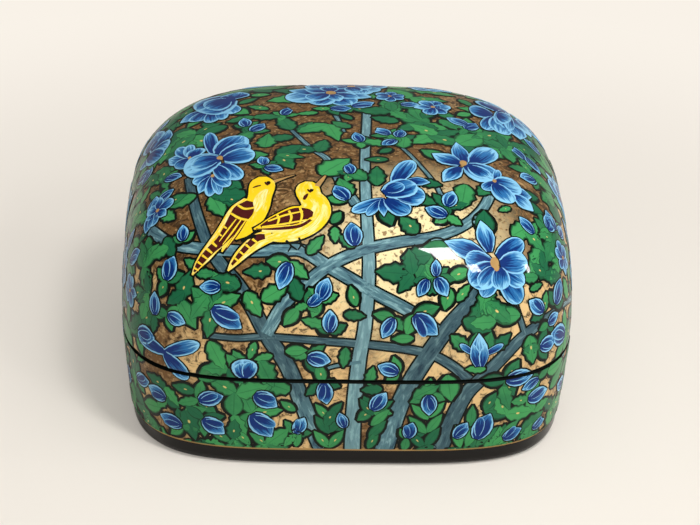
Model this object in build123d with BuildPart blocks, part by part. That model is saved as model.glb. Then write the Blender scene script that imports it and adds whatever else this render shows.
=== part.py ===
"""Domed papier-mache trinket box with a lift-off lid.

The box is moulded as one closed cushion-shaped form, dried, and sawn in two at the seam.
A strip glued inside the base's mouth, the collar, stands up to locate the lid. The base's
wall stands on a rebated foot ring, and a pasteboard panel glued into the rebate is the floor.

Frame: +Z up, +X to the right, front towards -Y, origin at the centre of the footprint.
All sizes are in millimetres.
"""

from build123d import *
from math import cos, radians, sin, sqrt
import os

# ---- Driving dimensions: the moulded form -------------------------------------------
box_width = 120.0
box_depth = 116.0
base_height = 26.5  # from the surface it stands on to the seam
lid_height = 45.0  # from the seam to the crown
bulge_rise = 1.5  # the form is widest this far above the seam
foot_taper = 2.8  # how far the wall leans in from its widest height to the floor
taper_curve = 1.4  # exponent of that lean: 1 is straight, more is rounder
dome_curve = 3.3  # exponent of the dome's vertical profile: 2 is an ellipse
side_squareness = 4.2  # exponent of the plan outline at and below the widest height
top_squareness = 3.2  # exponent of the plan outline at the crown

# ---- Driving dimensions: walls and seam ---------------------------------------------
wall = 3.0
lip_chamfer = 0.6  # both mouths are filed back, which leaves the dark seam line

# ---- Driving dimensions: foot and floor ---------------------------------------------
foot_height = 5.0
foot_width = 9.0  # how far the foot ring turns in under the floor
foot_rounding = 2.0  # radius of its lower outer edge
floor_thickness = 2.5

# ---- Driving dimensions: collar -----------------------------------------------------
collar_thickness = 1.8
collar_bite = 0.7  # how far it is let into the wall at the seam
collar_depth = 8.0  # glued length below the seam
collar_rise = 6.5  # free length above the seam
collar_chamfer = 0.6  # both edges of its free end are eased for the lid
collar_clearance = 0.3  # running gap between the collar and the lid
collar_headroom = 1.5  # relief above the collar inside the lid
scarf_gap = 0.4  # where the strip's two ends meet, at the back
scarf_angle = 35.0

# ---- How finely the outlines are drawn ----------------------------------------------
outline_points = 32
dome_steps = 8
last_dome_angle = 87.5
taper_steps = 4
rounding_steps = 4
corner_fit = 1.25  # radius of the arcs at the corners, over the outline's sharpest radius
bow_fit = 9.0  # radius of the arcs along the sides, over the smaller half size

seam_height = base_height
box_height = base_height + lid_height
widest_height = seam_height + bulge_rise
rebate_height = foot_height - floor_thickness
collar_foot = seam_height - collar_depth
collar_top = seam_height + collar_rise
collar_inset = wall - collar_bite


def outline(half_width, half_depth, squareness):
    """Points of a superellipse, evenly spaced by angle round its centre."""
    points = []
    for step in range(outline_points):
        turn = radians(360.0 * step / outline_points)
        along_x = abs(cos(turn)) / half_width
        along_y = abs(sin(turn)) / half_depth
        reach = (along_x**squareness + along_y**squareness) ** (-1.0 / squareness)
        points.append((reach * cos(turn), reach * sin(turn)))
    return points


def outline_sketch(height, half_width, half_depth, squareness):
    """A filled plan outline at a height."""
    with BuildSketch(Plane.XY.offset(height)) as sketch:
        with BuildLine():
            Spline(*outline(half_width, half_depth, squareness), periodic=True)
        make_face()
    return sketch.sketch


def lean(height):
    """How far the wall stands in from its widest, at a height below that."""
    drop = (widest_height - height) / widest_height
    return foot_taper * drop**taper_curve


def wall_sketch(height, inset):
    """The wall's plan outline at a height, set in by a thickness."""
    step_in = inset + lean(height)
    return outline_sketch(
        height, box_width / 2 - step_in, box_depth / 2 - step_in, side_squareness
    )


def arc_sketch(height, inset):
    """The wall's outline at the seam in tangent arcs, as a strip bends, set in by a thickness."""
    half_size = min(box_width, box_depth) / 2
    sharpest = half_size * 2 ** (0.5 - 1 / side_squareness) / (side_squareness - 1)
    corner = corner_fit * sharpest - inset
    bow = bow_fit * half_size - inset
    step_in = inset + lean(seam_height)
    half_width, half_depth = box_width / 2 - step_in, box_depth / 2 - step_in
    corner_x, corner_y = half_width, half_depth
    for _ in range(6):
        corner_x = half_width - bow + sqrt(bow**2 - corner_y**2)
        corner_y = half_depth - bow + sqrt(bow**2 - corner_x**2)
    with BuildSketch(Plane.XY.offset(height)) as sketch:
        with BuildLine():
            ThreePointArc((corner_x, -corner_y), (half_width, 0), (corner_x, corner_y))
            ThreePointArc((corner_x, corner_y), (0, half_depth), (-corner_x, corner_y))
            ThreePointArc((-corner_x, corner_y), (-half_width, 0), (-corner_x, -corner_y))
            ThreePointArc((-corner_x, -corner_y), (0, -half_depth), (corner_x, -corner_y))
        make_face()
        fillet(sketch.vertices(), corner)
    return sketch.sketch


def dome_sketch(angle, inset):
    """The dome's plan outline where a ray at this angle above the widest plane meets it."""
    level, rise = cos(radians(angle)), sin(radians(angle))
    reach = (level**dome_curve + rise**dome_curve) ** (-1.0 / dome_curve)
    share_out, share_up = reach * level, reach * rise
    return outline_sketch(
        widest_height + share_up * (box_height - inset - widest_height),
        share_out * (box_width / 2 - inset),
        share_out * (box_depth / 2 - inset),
        side_squareness + share_up * (top_squareness - side_squareness),
    )


def eased_mouth(opening):
    """A flare from the seam out past the form, up for the lid's mouth and down for the base's."""
    reach = box_height if opening == "lid" else -box_height
    step_in = lip_chamfer + lean(seam_height)
    with BuildPart() as flare:
        for height, step_out in ((0.0, -step_in), (reach, abs(reach) - step_in)):
            add(
                outline_sketch(
                    seam_height + height,
                    box_width / 2 + step_out,
                    box_depth / 2 + step_out,
                    side_squareness,
                )
            )
        loft(ruled=True)
    return flare.part


def moulded_form(bottom, inset):
    """The whole cushion shape from a bottom height to the crown, set in by a thickness."""
    with BuildPart() as form:
        for step in range(taper_steps):
            add(wall_sketch(bottom + (widest_height - bottom) * step / taper_steps, inset))
        for step in range(dome_steps + 1):
            add(dome_sketch(last_dome_angle * step / dome_steps, inset))
        loft()
    return form.part


outer_form = moulded_form(0.0, 0.0)
hollow_form = moulded_form(rebate_height, wall)

with BuildPart() as base_shell:
    add(outer_form)
    split(bisect_by=Plane.XY.offset(seam_height), keep=Keep.BOTTOM)
    split(bisect_by=Plane.XY.offset(foot_height), keep=Keep.TOP)
    add(eased_mouth("base"), mode=Mode.INTERSECT)
    add(hollow_form, mode=Mode.SUBTRACT)
    add(arc_sketch(collar_foot, collar_inset))
    extrude(amount=collar_depth, mode=Mode.SUBTRACT)
base_shell.part.label = "base_shell"

with BuildPart() as foot_ring:
    for step in range(rounding_steps + 1):
        turn = radians(90.0 * step / rounding_steps)
        add(wall_sketch(foot_rounding * (1 - cos(turn)), foot_rounding * (1 - sin(turn))))
    add(wall_sketch(foot_height, 0.0))
    loft(ruled=True)
    add(hollow_form, mode=Mode.SUBTRACT)
    add(arc_sketch(0.0, foot_taper + foot_width))
    extrude(amount=foot_height, mode=Mode.SUBTRACT)
foot_ring.part.label = "foot_ring"

with BuildPart() as floor_panel:
    add(hollow_form)
    split(bisect_by=Plane.XY.offset(foot_height), keep=Keep.BOTTOM)
floor_panel.part.label = "floor_panel"

with BuildPart() as collar:
    add(arc_sketch(collar_foot, collar_inset))
    extrude(amount=collar_depth + collar_rise)
    add(arc_sketch(collar_foot, collar_inset + collar_thickness))
    extrude(amount=collar_depth + collar_rise, mode=Mode.SUBTRACT)
    brim = collar.faces().filter_by(Plane.XY).sort_by(Axis.Z)[-1]
    chamfer(brim.edges(), collar_chamfer)
    scarf_place = (0, box_depth / 2 - collar_inset, (collar_foot + collar_top) / 2)
    with Locations(Location(scarf_place, (0, scarf_angle, 0))):
        Box(scarf_gap, 4 * collar_thickness, 2 * collar_top, mode=Mode.SUBTRACT)
collar.part.label = "collar"

with BuildPart() as lid_shell:
    add(outer_form)
    split(bisect_by=Plane.XY.offset(seam_height), keep=Keep.TOP)
    add(eased_mouth("lid"), mode=Mode.INTERSECT)
    add(hollow_form, mode=Mode.SUBTRACT)
    add(arc_sketch(seam_height, collar_inset - collar_clearance))
    extrude(amount=collar_rise + collar_headroom, mode=Mode.SUBTRACT)
lid_shell.part.label = "lid_shell"

os.makedirs("parts", exist_ok=True)
for piece in (base_shell, foot_ring, floor_panel, collar, lid_shell):
    export_step(piece.part, f"parts/{piece.part.label}.step")
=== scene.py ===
"""Paints and varnishes a domed papier-mache box: flowers, leaves and birds on a gold ground."""

import math
import random

import bpy
import numpy as np
from mathutils import Matrix, Vector
from mathutils.bvhtree import BVHTree


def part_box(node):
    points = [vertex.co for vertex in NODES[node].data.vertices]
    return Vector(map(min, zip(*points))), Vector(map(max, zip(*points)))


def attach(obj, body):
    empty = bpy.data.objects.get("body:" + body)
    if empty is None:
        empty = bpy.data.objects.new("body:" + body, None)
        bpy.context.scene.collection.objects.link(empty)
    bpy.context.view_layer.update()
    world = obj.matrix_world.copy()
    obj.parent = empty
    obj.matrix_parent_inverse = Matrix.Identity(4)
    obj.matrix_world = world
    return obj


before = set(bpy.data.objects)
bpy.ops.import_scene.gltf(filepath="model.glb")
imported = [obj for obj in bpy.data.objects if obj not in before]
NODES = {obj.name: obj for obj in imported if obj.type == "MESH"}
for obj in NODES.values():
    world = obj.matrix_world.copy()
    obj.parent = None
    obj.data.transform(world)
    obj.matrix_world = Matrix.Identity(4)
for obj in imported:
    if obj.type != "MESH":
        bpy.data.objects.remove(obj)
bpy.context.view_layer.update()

bl_info = {
    "name": "Painted Papier-Mache Box",
    "version": (1, 0, 0),
    "blender": (4, 5, 0),
    "location": "3D View > Sidebar > Painted Box",
    "description": "Paints flowers, leaves and birds on a lidded box and sets up its stage",
    "category": "Object",
}

MM = 0.001

# The seam and the foot line, read from the frame.
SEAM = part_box("lid_shell")[0][2]
FOOT_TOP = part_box("base_shell")[0][2]
HALF_LIP = 0.62 * MM  # the lips' chamfers stay bare and black
GOLD_LINE = 0.55 * MM

# Heights of the layers of paint above the shell.
TRUNK_INK, TRUNK_PAINT, TRUNK_STEP = 0.045 * MM, 0.065 * MM, 0.007 * MM
LEAF_INK, LEAF_PAINT, LEAF_STEP, LEAF_LAYERS = 0.10 * MM, 0.122 * MM, 0.012 * MM, 5
PETAL_INK, PETAL_PAINT, PETAL_STEP = 0.19 * MM, 0.21 * MM, 0.013 * MM
MOST_PETALS = 18
STAMEN_PAINT = PETAL_PAINT + MOST_PETALS * PETAL_STEP
BIRD_INK, BIRD_PAINT, BIRD_STEP = 0.19 * MM, 0.215 * MM, 0.022 * MM
BODY_STEP, BIRD_LIFT = 0.012 * MM, 0.06 * MM  # between a bird's body strokes; between the birds
KEYING = 0.05 * MM  # how far each layer's underside sinks into the shell

# The gold ground's noises: scale, detail, roughness and distortion.
PATCHES, SMEARS, STIPPLE = (46.0, 3.0, 0.6, 0.5), (340.0, 4.0, 0.72, 1.4), (900.0, 2.0, 0.6)
WORN_AND_SHADED, FLECKED = (0.65, 0.91), (0.53, 0.645)  # levels where the gold is rubbed and painted in shade, and where it is dark
# Painted shade: the gold is made deeper from the one level up to the other and towards the left,
# where less light would fall on it.
SHADED_LEVELS, SHADED_SIDE = (44 * MM, 64 * MM), (-12 * MM, -50 * MM)
# Painted highlight: the gold is painted brighter round the place on the front where the lamp would
# shine in it.
HIGHLIGHT_REACH = 38 * MM, 8 * MM  # from the brightest place to where its glow begins and is full
# Shares of the painted shade towards the left and towards the top, and of the smeared wear.
SIDE_SHADE, HEIGHT_SHADE, SMEAR_WEAR = 0.12, 0.24, 0.5
STIPPLED, STIPPLE_SHARE, HEIGHT_SHADE_FLECKS, FLECK_SHARE = (0.52, 0.68), 0.34, 0.06, 0.85
HIGHLIGHT_STIPPLE = (0.66, 0.5)  # levels where the glow shows least and most
GOLD_LINE_EDGE = 1.25, 0.95  # over the line's width: where its edge begins and is full
BARE_LIP, INSIDE, BARE_ROUGHNESS = 1.08, 4 * MM, 0.25  # the last is added where no gold is
# Leaf paint: noises, how they shade the green, the dark edge, the vein and the dot on some.
LEAF_BRUSHED, LEAF_BROAD = (330.0, 3.0, 0.6), (60.0, 2.0)
BRUSHED_SHADE, BROAD_SHADE, LEAF_SHADE = 0.55, 0.9, -0.72
LEAF_EDGE, EDGE_WAVE, EDGE_SHARE, EDGE_DARK = (0.88, 1.08), 0.3, 0.8, 0.28
VEIN, VEIN_SHARE, VEIN_DARK = (0.10, 0.03), 0.35, 0.5
DOT_PLACE, DOT_RADII, DOT_LOTS, UNDOTTED = (0.5, 0.42, 0.0), (0.07, 0.04), 37.0, 0.68
# Petal paint: what moves its blues, the levels between which they change, and its rim.
STREAK_BLUE, SIDE_BLUE, TONE_BLUE = 1.5, 0.2, 0.24
PALE_BLUE, ROYAL_BLUE = (1.46, 1.80), (1.42, 1.18)
RIM_SIDE, SIDE_WAVE, RIM_END, END_WAVE, RIM_SHARE = (1.0, 1.14), 0.5, (0.97, 1.05), 0.2, 0.9
# Bark and feather paint: levels of the streaks, and the shades of whole trunks.
STREAK_PALE, STREAK_DEEP, STREAK_YELLOW = (0.50, 0.66), (0.47, 0.34), (0.36, 0.60)
DARKENED, PALE_SHARE, DARK_SHARE, DARK_BARK = (0.1, 0.26), 0.35, 0.55, 0.4

# Varnish and the paint under it.
COAT, LACQUER_COAT, COAT_ROUGHNESS, COAT_IOR = 0.5, 0.65, 0.03, 1.35
PAINT_ROUGHNESS, PAINT_SPECULAR = 0.45, 0.06
RELIEF, RELIEF_SCALE, RELIEF_DEPTH = 0.06, 700.0, 0.2 * MM

# Streaks in brushed paint.
PETAL_STREAKS = {
    "Across": 8.0, "Along": 1.3, "Shift": 40.0, "Detail": 3.0, "Roughness": 0.65, "Distortion": 0.0,
}
BARK_STREAKS = {
    "Across": 3.4, "Along": 19.0, "Shift": 30.0, "Detail": 5.0, "Roughness": 0.6, "Distortion": 0.4,
}
FEATHER_STREAKS = {
    "Across": 5.0, "Along": 22.0, "Shift": 1.0, "Detail": 4.0, "Roughness": 0.65, "Distortion": 0.0,
}
# Paints of one colour: which, its unevenness (scale, detail) and its shares where thin and thick.
PLAIN_PAINTS = {
    "black lacquer": ("lacquer", 120.0, 4.0, 1.0, 1.9), "ink": ("ink", 500.0, 2.0, 1.0, 2.2),
    "feather bars": ("feather_bar", 400.0, 3.0, 0.72, 1.25),
    "stamen gold": ("stamen", 400.0, 3.0, 0.72, 1.25),
}

# Brush strokes. Distances between a stroke's rows are in points of the view.
FINEST_HALF = 0.02 * MM  # least half width
UV_PER_LENGTH = 10
TRUNK_STOPS, BODY_STOPS, FINE_STOPS = 4.6, 3.0, 1.8
CURVE_STEPS = 16  # between two given points
THIN_TRUNK = 2.5  # mm; a trunk that is nowhere wider has fewer columns
TRUNK_LAYERS, TRUNK_TONES = 3, 13
# Least share of a motif's length that its outline takes, and share of the line that widens it.
LEAST_LINE, LINE_SHARE = 0.02, 0.9
BEAK_LINE = 0.8  # share of a bird's outline

# Room that leaves keep from the edges of other motifs, and from the middle of a beak.
BARK_ROOM, BARK_EDGE, FEATHER_ROOM, BEAK_ROOM = 0.6 * MM, 0.3 * MM, 0.2 * MM, 3.6 * MM
PETAL_ROOM, BUD_ROOM, ROSETTE_ROOM = 0.5, 0.55, 0.9  # radius over the length or the radius

# Leaves. The crown, where the normal rises more than its slope, has fewer and larger ones.
LEAF_REACH = 0.42  # radius that a leaf covers, over its length
SAME_HEIGHT_ROOM = 6 * MM  # leaves nearer than this to each other go on different layers
CROWN_SLOPE, CROWN_LEAF, CROWN_BARE_SHARE = 0.86, 1.25, 0.6
FILLER_SPACING, MARGIN, CROWN_MARGIN = 3.0 * MM, 1.0 * MM, 2.2 * MM
SPRAY_SHARE, SHORTEST_SPRAY, SPRAY_REACH = 0.6, 3.5 * MM, 2.4 * MM
SPRAY_START, RING_START, SPRAY_WIDTH = 0.62, 0.6, 0.66  # over a petal's reach, and a leaf's length
TESTED_SHARES = (0.2, 0.55, 0.95)  # how far along a leaf its room is tested
PICKS = 14000  # places tried when leaves are scattered
FLOWER_SEED, BUD_SEED, LEAF_SEED = 11, 23, 5

# What a viewer who faces a side of the box sees. Motifs are placed by their points in this view.
VIEW_WIDTH, VIEW_HEIGHT = 700, 525
LENS = 171.6
SENSOR = 36.0
POINTS_PER_UNIT = LENS / SENSOR * VIEW_WIDTH
POINT = 1 / 3.67 * MM  # size of a point of the view on the box's nearest parts

FRONT, RIGHT, BACK, LEFT = range(4)
# The middle of the painted highlight on the front's gold.
HIGHLIGHT_POINT = (412, 250)  # where the front's gold shines most

# ---- Layout of the painting ----------------------------------------------------------
# Routes and places are points in the view of the named side; widths are in mm.

TRUNKS = {
    FRONT: [
        ([(324, 452), (304, 407), (288, 367), (268, 337), (253, 309), (238, 285), (222, 266),
          (211, 250), (203, 232), (194, 203), (189, 178)], 4.3, 2.2),
        ([(352, 452), (354, 407), (359, 360), (365, 326), (369, 274), (368, 240), (366, 200),
          (365, 160), (367, 112)], 3.9, 2.1),
        ([(383, 452), (404, 395), (430, 352), (451, 324), (474, 299), (484, 284)], 4.6, 3.4),
        ([(438, 452), (462, 400), (482, 378), (503, 357), (525, 335), (556, 312)], 4.2, 2.4),
        ([(150, 230), (170, 243), (196, 248), (240, 251), (283, 250), (303, 251), (328, 266),
          (373, 292), (411, 312), (437, 331)], 2.9, 3.0),
        ([(266, 334), (284, 304), (307, 283), (330, 265), (364, 250), (399, 242), (433, 237),
          (461, 227), (481, 211), (493, 190)], 3.1, 2.4),
        ([(204, 335), (236, 338), (266, 337), (323, 341), (382, 346), (426, 353), (451, 365),
          (469, 380)], 1.2, 2.5),
        ([(289, 128), (312, 149), (328, 160), (340, 182), (356, 204)], 0.8, 2.7),
        ([(395, 142), (412, 157), (433, 181), (442, 197)], 0.7, 1.0),
        ([(514, 300), (525, 334)], 1.0, 1.3),
        ([(361, 362), (335, 366), (318, 372)], 1.0, 0.6),
        ([(326, 104), (336, 116), (344, 132)], 1.3, 0.8),
    ],
    RIGHT: [
        ([(262, 452), (270, 400), (262, 350), (262, 326)], 3.7, 2.2),
        ([(330, 452), (322, 400), (330, 350), (346, 322), (352, 296)], 4.3, 2.2),
        ([(412, 452), (400, 405), (418, 362), (452, 330), (486, 312), (514, 303)], 4.2, 2.4),
        ([(322, 395), (370, 372), (420, 362)], 1.8, 2.4),
        ([(352, 312), (402, 300), (440, 280), (466, 266)], 2.6, 1.8),
        ([(264, 360), (222, 340), (196, 330)], 1.8, 1.0),
        ([(172, 392), (214, 372), (262, 380)], 1.3, 1.9),
        ([(452, 332), (500, 340), (548, 330)], 1.9, 1.1),
    ],
    BACK: [
        ([(238, 452), (252, 405), (244, 360), (214, 320), (190, 276), (196, 240)], 4.0, 2.1),
        ([(300, 452), (312, 400), (338, 352), (346, 300), (338, 250), (346, 205)], 4.5, 2.2),
        ([(392, 452), (392, 402), (376, 352), (346, 306)], 4.2, 2.7),
        ([(452, 452), (448, 402), (470, 356), (500, 320), (520, 280)], 3.8, 2.1),
        ([(338, 354), (290, 338), (244, 342)], 2.2, 1.8),
        ([(376, 354), (420, 322), (446, 284), (452, 240)], 2.9, 1.8),
        ([(346, 302), (300, 282), (268, 250), (262, 214)], 2.6, 1.6),
        ([(470, 358), (512, 372), (546, 366)], 1.8, 1.0),
    ],
    LEFT: [
        ([(282, 452), (290, 402), (276, 352), (242, 330), (206, 322), (176, 312)], 4.2, 2.1),
        ([(350, 452), (340, 402), (352, 360), (348, 340), (340, 324)], 4.5, 2.2),
        ([(430, 452), (438, 402), (446, 362), (446, 326)], 3.7, 2.2),
        ([(276, 354), (286, 320), (258, 306), (234, 298)], 2.6, 1.8),
        ([(352, 352), (402, 358), (442, 360)], 2.4, 2.1),
        ([(442, 372), (480, 352), (508, 346)], 1.8, 1.0),
        ([(210, 402), (246, 386), (286, 390)], 1.3, 1.8),
    ],
}
# Shades of a trunk's paint by side and number of the route; all others are plain.
PLAIN, PALE, DARK, DARKENING = range(4)
TRUNK_SHADES = {
    (FRONT, 0): DARKENING, (FRONT, 1): PALE, (FRONT, 2): DARKENING, (FRONT, 3): DARK,
    (FRONT, 6): DARK, (FRONT, 9): DARK, (RIGHT, 0): PALE, (RIGHT, 2): DARKENING, (BACK, 1): PALE,
    (BACK, 3): DARK, (LEFT, 0): DARKENING, (LEFT, 1): PALE,
}

# The front's flowers drawn petal by petal, back to front: root, tip and width in mm of each
# petal, and its outline where it isn't round.
ROUND, POINTED = "round_petal", "pointed_petal"
BLOOMS = [
    # upper left, with its two half-open neighbours
    [(189, 160, 169, 160, 2.6, POINTED), (189, 158, 178, 149, 2.8), (190, 157, 189, 146, 2.8),
     (190, 160, 176, 169, 2.8), (192, 158, 199, 149, 2.6), (212, 176, 193, 184, 2.6),
     (212, 177, 199, 194, 2.8, POINTED), (213, 177, 210, 197, 2.9), (214, 177, 220, 195, 2.8),
     (214, 176, 229, 187, 2.8), (214, 155, 209, 134, 4.0), (219, 155, 242, 137, 4.2),
     (222, 157, 249, 145, 3.0), (224, 160, 255, 154, 3.9), (222, 165, 240, 180, 3.7),
     (216, 167, 228, 181, 3.4), (220, 160, 184, 173, 5.8), (218, 161, 191, 167, 3.8)],
    # centre, seen from its side
    [(385, 200, 352, 212, 3.0), (381, 201, 367, 216, 2.4), (382, 200, 384, 217, 2.6, POINTED),
     (408, 181, 430, 183, 2.2, POINTED), (394, 184, 412, 161, 4.1), (386, 200, 409, 214, 4.6),
     (396, 195, 425, 197, 5.2), (384, 194, 416, 185, 5.2), (386, 192, 403, 185, 3.1)],
    # right of centre, a pair
    [(464, 165, 456, 143, 3.3, POINTED), (460, 165, 432, 154, 3.1, POINTED),
     (472, 164, 493, 150, 4.0), (460, 168, 443, 182, 3.4, POINTED), (466, 166, 495, 180, 5.0),
     (470, 167, 488, 178, 3.0), (495, 182, 498, 171, 2.4), (496, 183, 483, 190, 2.4),
     (514, 192, 531, 198, 2.4, POINTED), (514, 196, 533, 212, 2.9, POINTED),
     (495, 183, 521, 190, 3.8), (495, 185, 510, 204, 4.0)],
    # far right, full and open
    [(489, 252, 480, 220, 4.7, POINTED), (485, 257, 444, 241, 5.3, POINTED),
     (497, 257, 523, 241, 5.4), (497, 268, 482, 298, 5.0), (500, 272, 520, 304, 5.9),
     (502, 270, 524, 284, 5.0), (492, 264, 465, 258, 5.4), (500, 264, 527, 262, 6.4),
     (494, 266, 470, 285, 7.6), (494, 268, 480, 288, 5.0), (499, 268, 501, 290, 5.2)],
    # upper right, on the shoulder
    [(492, 116, 469, 109, 4.0), (494, 118, 485, 130, 3.8), (499, 119, 500, 134, 4.0),
     (505, 119, 520, 140, 4.1, POINTED), (510, 118, 531, 138, 4.1, POINTED),
     (499, 113, 488, 104, 4.6), (503, 112, 507, 102, 4.6), (507, 115, 519, 112, 4.5),
     (497, 115, 510, 122, 5.3)],
    # upper left, on the shoulder
    [(204, 112, 180, 124, 2.9, POINTED), (207, 112, 198, 122, 3.4), (213, 112, 212, 123, 3.6),
     (221, 110, 223, 120, 3.6), (228, 106, 234, 114, 3.4), (231, 100, 240, 93, 3.6, POINTED),
     (233, 99, 197, 112, 8.3), (229, 101, 206, 109, 5.2)],
    # lower left, three long petals and a wide bud
    [(165, 352, 137, 331, 3.1), (165, 352, 201, 344, 4.0), (165, 353, 189, 379, 3.8)],
    [(245, 378, 244, 359, 7.0), (244, 377, 240, 363, 4.6), (246, 377, 252, 362, 4.0)],
    # low on the right, a tulip with curled side petals
    [(474, 354, 460, 344, 1.7), (485, 354, 503, 344, 1.7), (479, 366, 479, 333, 4.9, POINTED),
     (477, 366, 473, 343, 2.8, POINTED), (482, 366, 485, 343, 2.6, POINTED)],
    # left edge
    [(154, 152, 170, 130, 4.1, POINTED), (150, 152, 158, 133, 4.0, POINTED),
     (151, 156, 168, 148, 3.8), (150, 158, 145, 168, 3.4), (150, 156, 161, 158, 3.1)],
]

# Other flowers: place, width in mm and turn in degrees. Wide ones are double.
DOUBLE_WIDTH = 12
DOUBLE_RINGS, SINGLE_RING = ((8, 1.0), (6, 0.68)), ((6, 1.0),)  # petals and share of the radius
PETAL_ROOT, HEART_BELOW, HEART_LENGTH, HEART_WIDTH = 0.12, 0.1, 0.24, 0.22  # over the radius
FLOWERS = {
    FRONT: [
        (331, 94, 25.0, 20), (390, 97, 9.0, 0), (158, 211, 10.5, 200), (131, 290, 9.0, -80),
        (562, 258, 9.0, 80), (436, 86, 11.0, 30),
    ],
    RIGHT: [
        (352, 292, 17.0, 15), (470, 262, 15.0, 60), (520, 300, 14.0, 80), (262, 330, 11.0, 0),
        (552, 336, 9.0, 90), (410, 330, 9.0, 0),
    ],
    BACK: [
        (196, 232, 17.0, 0), (346, 196, 20.0, 30), (453, 232, 16.0, 40), (522, 272, 16.0, 70),
        (262, 208, 13.0, -20), (204, 352, 9.0, 0), (300, 372, 9.0, 0),
    ],
    LEFT: [
        (172, 310, 13.0, -40), (230, 296, 14.0, -20), (338, 322, 14.0, 20), (446, 330, 11.0, 50),
        (402, 352, 9.0, 0), (296, 322, 9.0, 0),
    ],
}
# Golden stamens on the front: place and length in mm.
STAMEN_SLIMNESS = 0.8
STAMENS = [
    (220, 159, 2.0), (190, 159, 1.2), (213, 177, 1.3), (463, 164, 2.4), (494, 182, 1.4),
    (494, 263, 2.8), (383, 197, 1.0), (496, 268, 1.8),
]

# A bud's inner petal and its leaves: root and length over the bud's length, widths, and how far
# the leaves' stalk is under the bud in mm.
INNER_ROOT, INNER_LENGTH, INNER_WIDTH = 0.12, 0.7, 0.5
BUD_LEAF_REACH, BUD_LEAF_WIDTH, STALK_BELOW = 0.45, 0.5, 0.2
# Buds: place, length in mm and the way the tip points, in degrees clockwise from up.
BUDS = {
    FRONT: [
        (157, 392, 6.2, -50), (211, 398, 6.8, 80), (266, 400, 6.8, 120), (171, 420, 6.8, -60),
        (214, 426, 6.8, 125), (262, 425, 8.6, 140), (325, 393, 6.6, 170), (379, 401, 6.4, 40),
        (429, 405, 6.2, 180), (538, 394, 7.0, 60), (512, 433, 5.6, 60), (538, 423, 4.8, 50),
        (483, 426, 8.4, 30), (170, 268, 6.4, 20), (210, 287, 5.4, -90), (155, 303, 6.0, 0),
        (227, 318, 9.0, 125), (284, 276, 7.2, -160), (324, 289, 6.0, 20), (330, 321, 6.0, 0),
        (319, 359, 6.0, 100), (129, 288, 7.0, 0), (388, 328, 6.0, -150), (426, 325, 8.0, 130),
        (388, 369, 5.6, -70), (548, 343, 6.4, 60), (520, 377, 8.0, 75), (558, 291, 7.0, 10),
        (436, 268, 4.2, 0), (423, 288, 4.8, 210), (442, 287, 5.4, 150), (436, 212, 5.8, -70),
        (450, 199, 6.4, 20), (549, 223, 6.6, 10), (353, 234, 6.6, -10), (341, 193, 6.4, -40),
        (350, 169, 5.0, 0), (358, 138, 5.6, -30), (383, 132, 5.4, -60), (400, 134, 4.8, 20),
        (389, 143, 5.0, -110), (245, 123, 5.6, -20), (258, 128, 5.4, 60), (263, 161, 4.6, -30),
        (274, 169, 5.0, 100), (183, 233, 4.8, 0), (166, 196, 5.4, 50), (148, 176, 6.0, 30),
        (154, 205, 6.0, 20), (150, 222, 7.0, -160), (341, 109, 5.6, 90), (363, 105, 6.8, 80),
        (441, 109, 6.2, 70), (457, 122, 6.4, -70), (471, 127, 5.8, 60), (519, 154, 5.6, -40),
        (533, 166, 6.4, 140), (131, 240, 6.4, 20), (553, 318, 5.0, 40), (286, 112, 5.0, 30),
        (410, 105, 5.0, 90), (560, 232, 5.0, 0), (316, 300, 4.6, 60), (300, 425, 5.4, 30),
        (461, 430, 5.6, 40), (342, 420, 4.8, -20), (410, 430, 5.0, 20),
    ],
    RIGHT: [
        (160, 300, 6.2, -20), (212, 238, 5.6, 30), (290, 300, 7.2, 20), (312, 330, 6.4, 60),
        (392, 330, 7.0, 10), (440, 300, 6.2, 60), (400, 246, 6.2, 20), (300, 232, 6.4, -40),
        (250, 262, 6.0, 40), (530, 290, 6.0, 60), (498, 378, 8.0, 70), (200, 412, 6.6, -60),
        (232, 424, 6.6, 40), (296, 420, 6.0, 0), (362, 420, 6.6, 30), (452, 418, 6.8, 40),
        (512, 412, 6.2, 60), (180, 350, 8.6, -50), (470, 380, 5.6, 0), (280, 378, 6.0, 60),
        (150, 372, 5.4, -80), (420, 212, 5.6, 0), (240, 396, 5.4, -30), (544, 380, 5.4, 70),
    ],
    BACK: [
        (160, 300, 6.4, -20), (238, 282, 7.2, 30), (300, 318, 6.4, 20), (262, 302, 5.6, -60),
        (392, 262, 6.6, 40), (418, 300, 6.0, 60), (480, 262, 6.0, -20), (400, 226, 5.6, 0),
        (302, 236, 6.0, -30), (186, 386, 8.2, -60), (216, 420, 6.4, -30), (276, 424, 6.6, 20),
        (352, 420, 6.6, 0), (424, 420, 6.4, 40), (500, 412, 6.6, 60), (532, 330, 7.0, 60),
        (420, 368, 8.0, 20), (500, 388, 5.8, 60), (232, 384, 5.6, 60), (154, 352, 6.0, -80),
        (340, 394, 5.4, 40), (550, 396, 5.2, 70),
    ],
    LEFT: [
        (160, 320, 6.2, -50), (232, 282, 6.8, 0), (252, 250, 5.8, -40), (352, 270, 6.2, 20),
        (420, 320, 7.0, 60), (416, 230, 6.0, 40), (480, 300, 6.4, 30), (340, 318, 6.0, -30),
        (222, 346, 8.8, -70), (190, 386, 6.0, -40), (232, 424, 6.6, -20), (312, 420, 6.4, 10),
        (392, 420, 6.6, 20), (402, 388, 5.8, 60), (478, 420, 6.4, 40), (520, 400, 6.6, 60),
        (530, 350, 7.2, 60), (320, 376, 6.0, 30), (452, 388, 5.6, 0), (150, 262, 5.4, 0),
        (262, 398, 5.2, -30), (550, 310, 5.4, 60),
    ],
}

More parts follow.
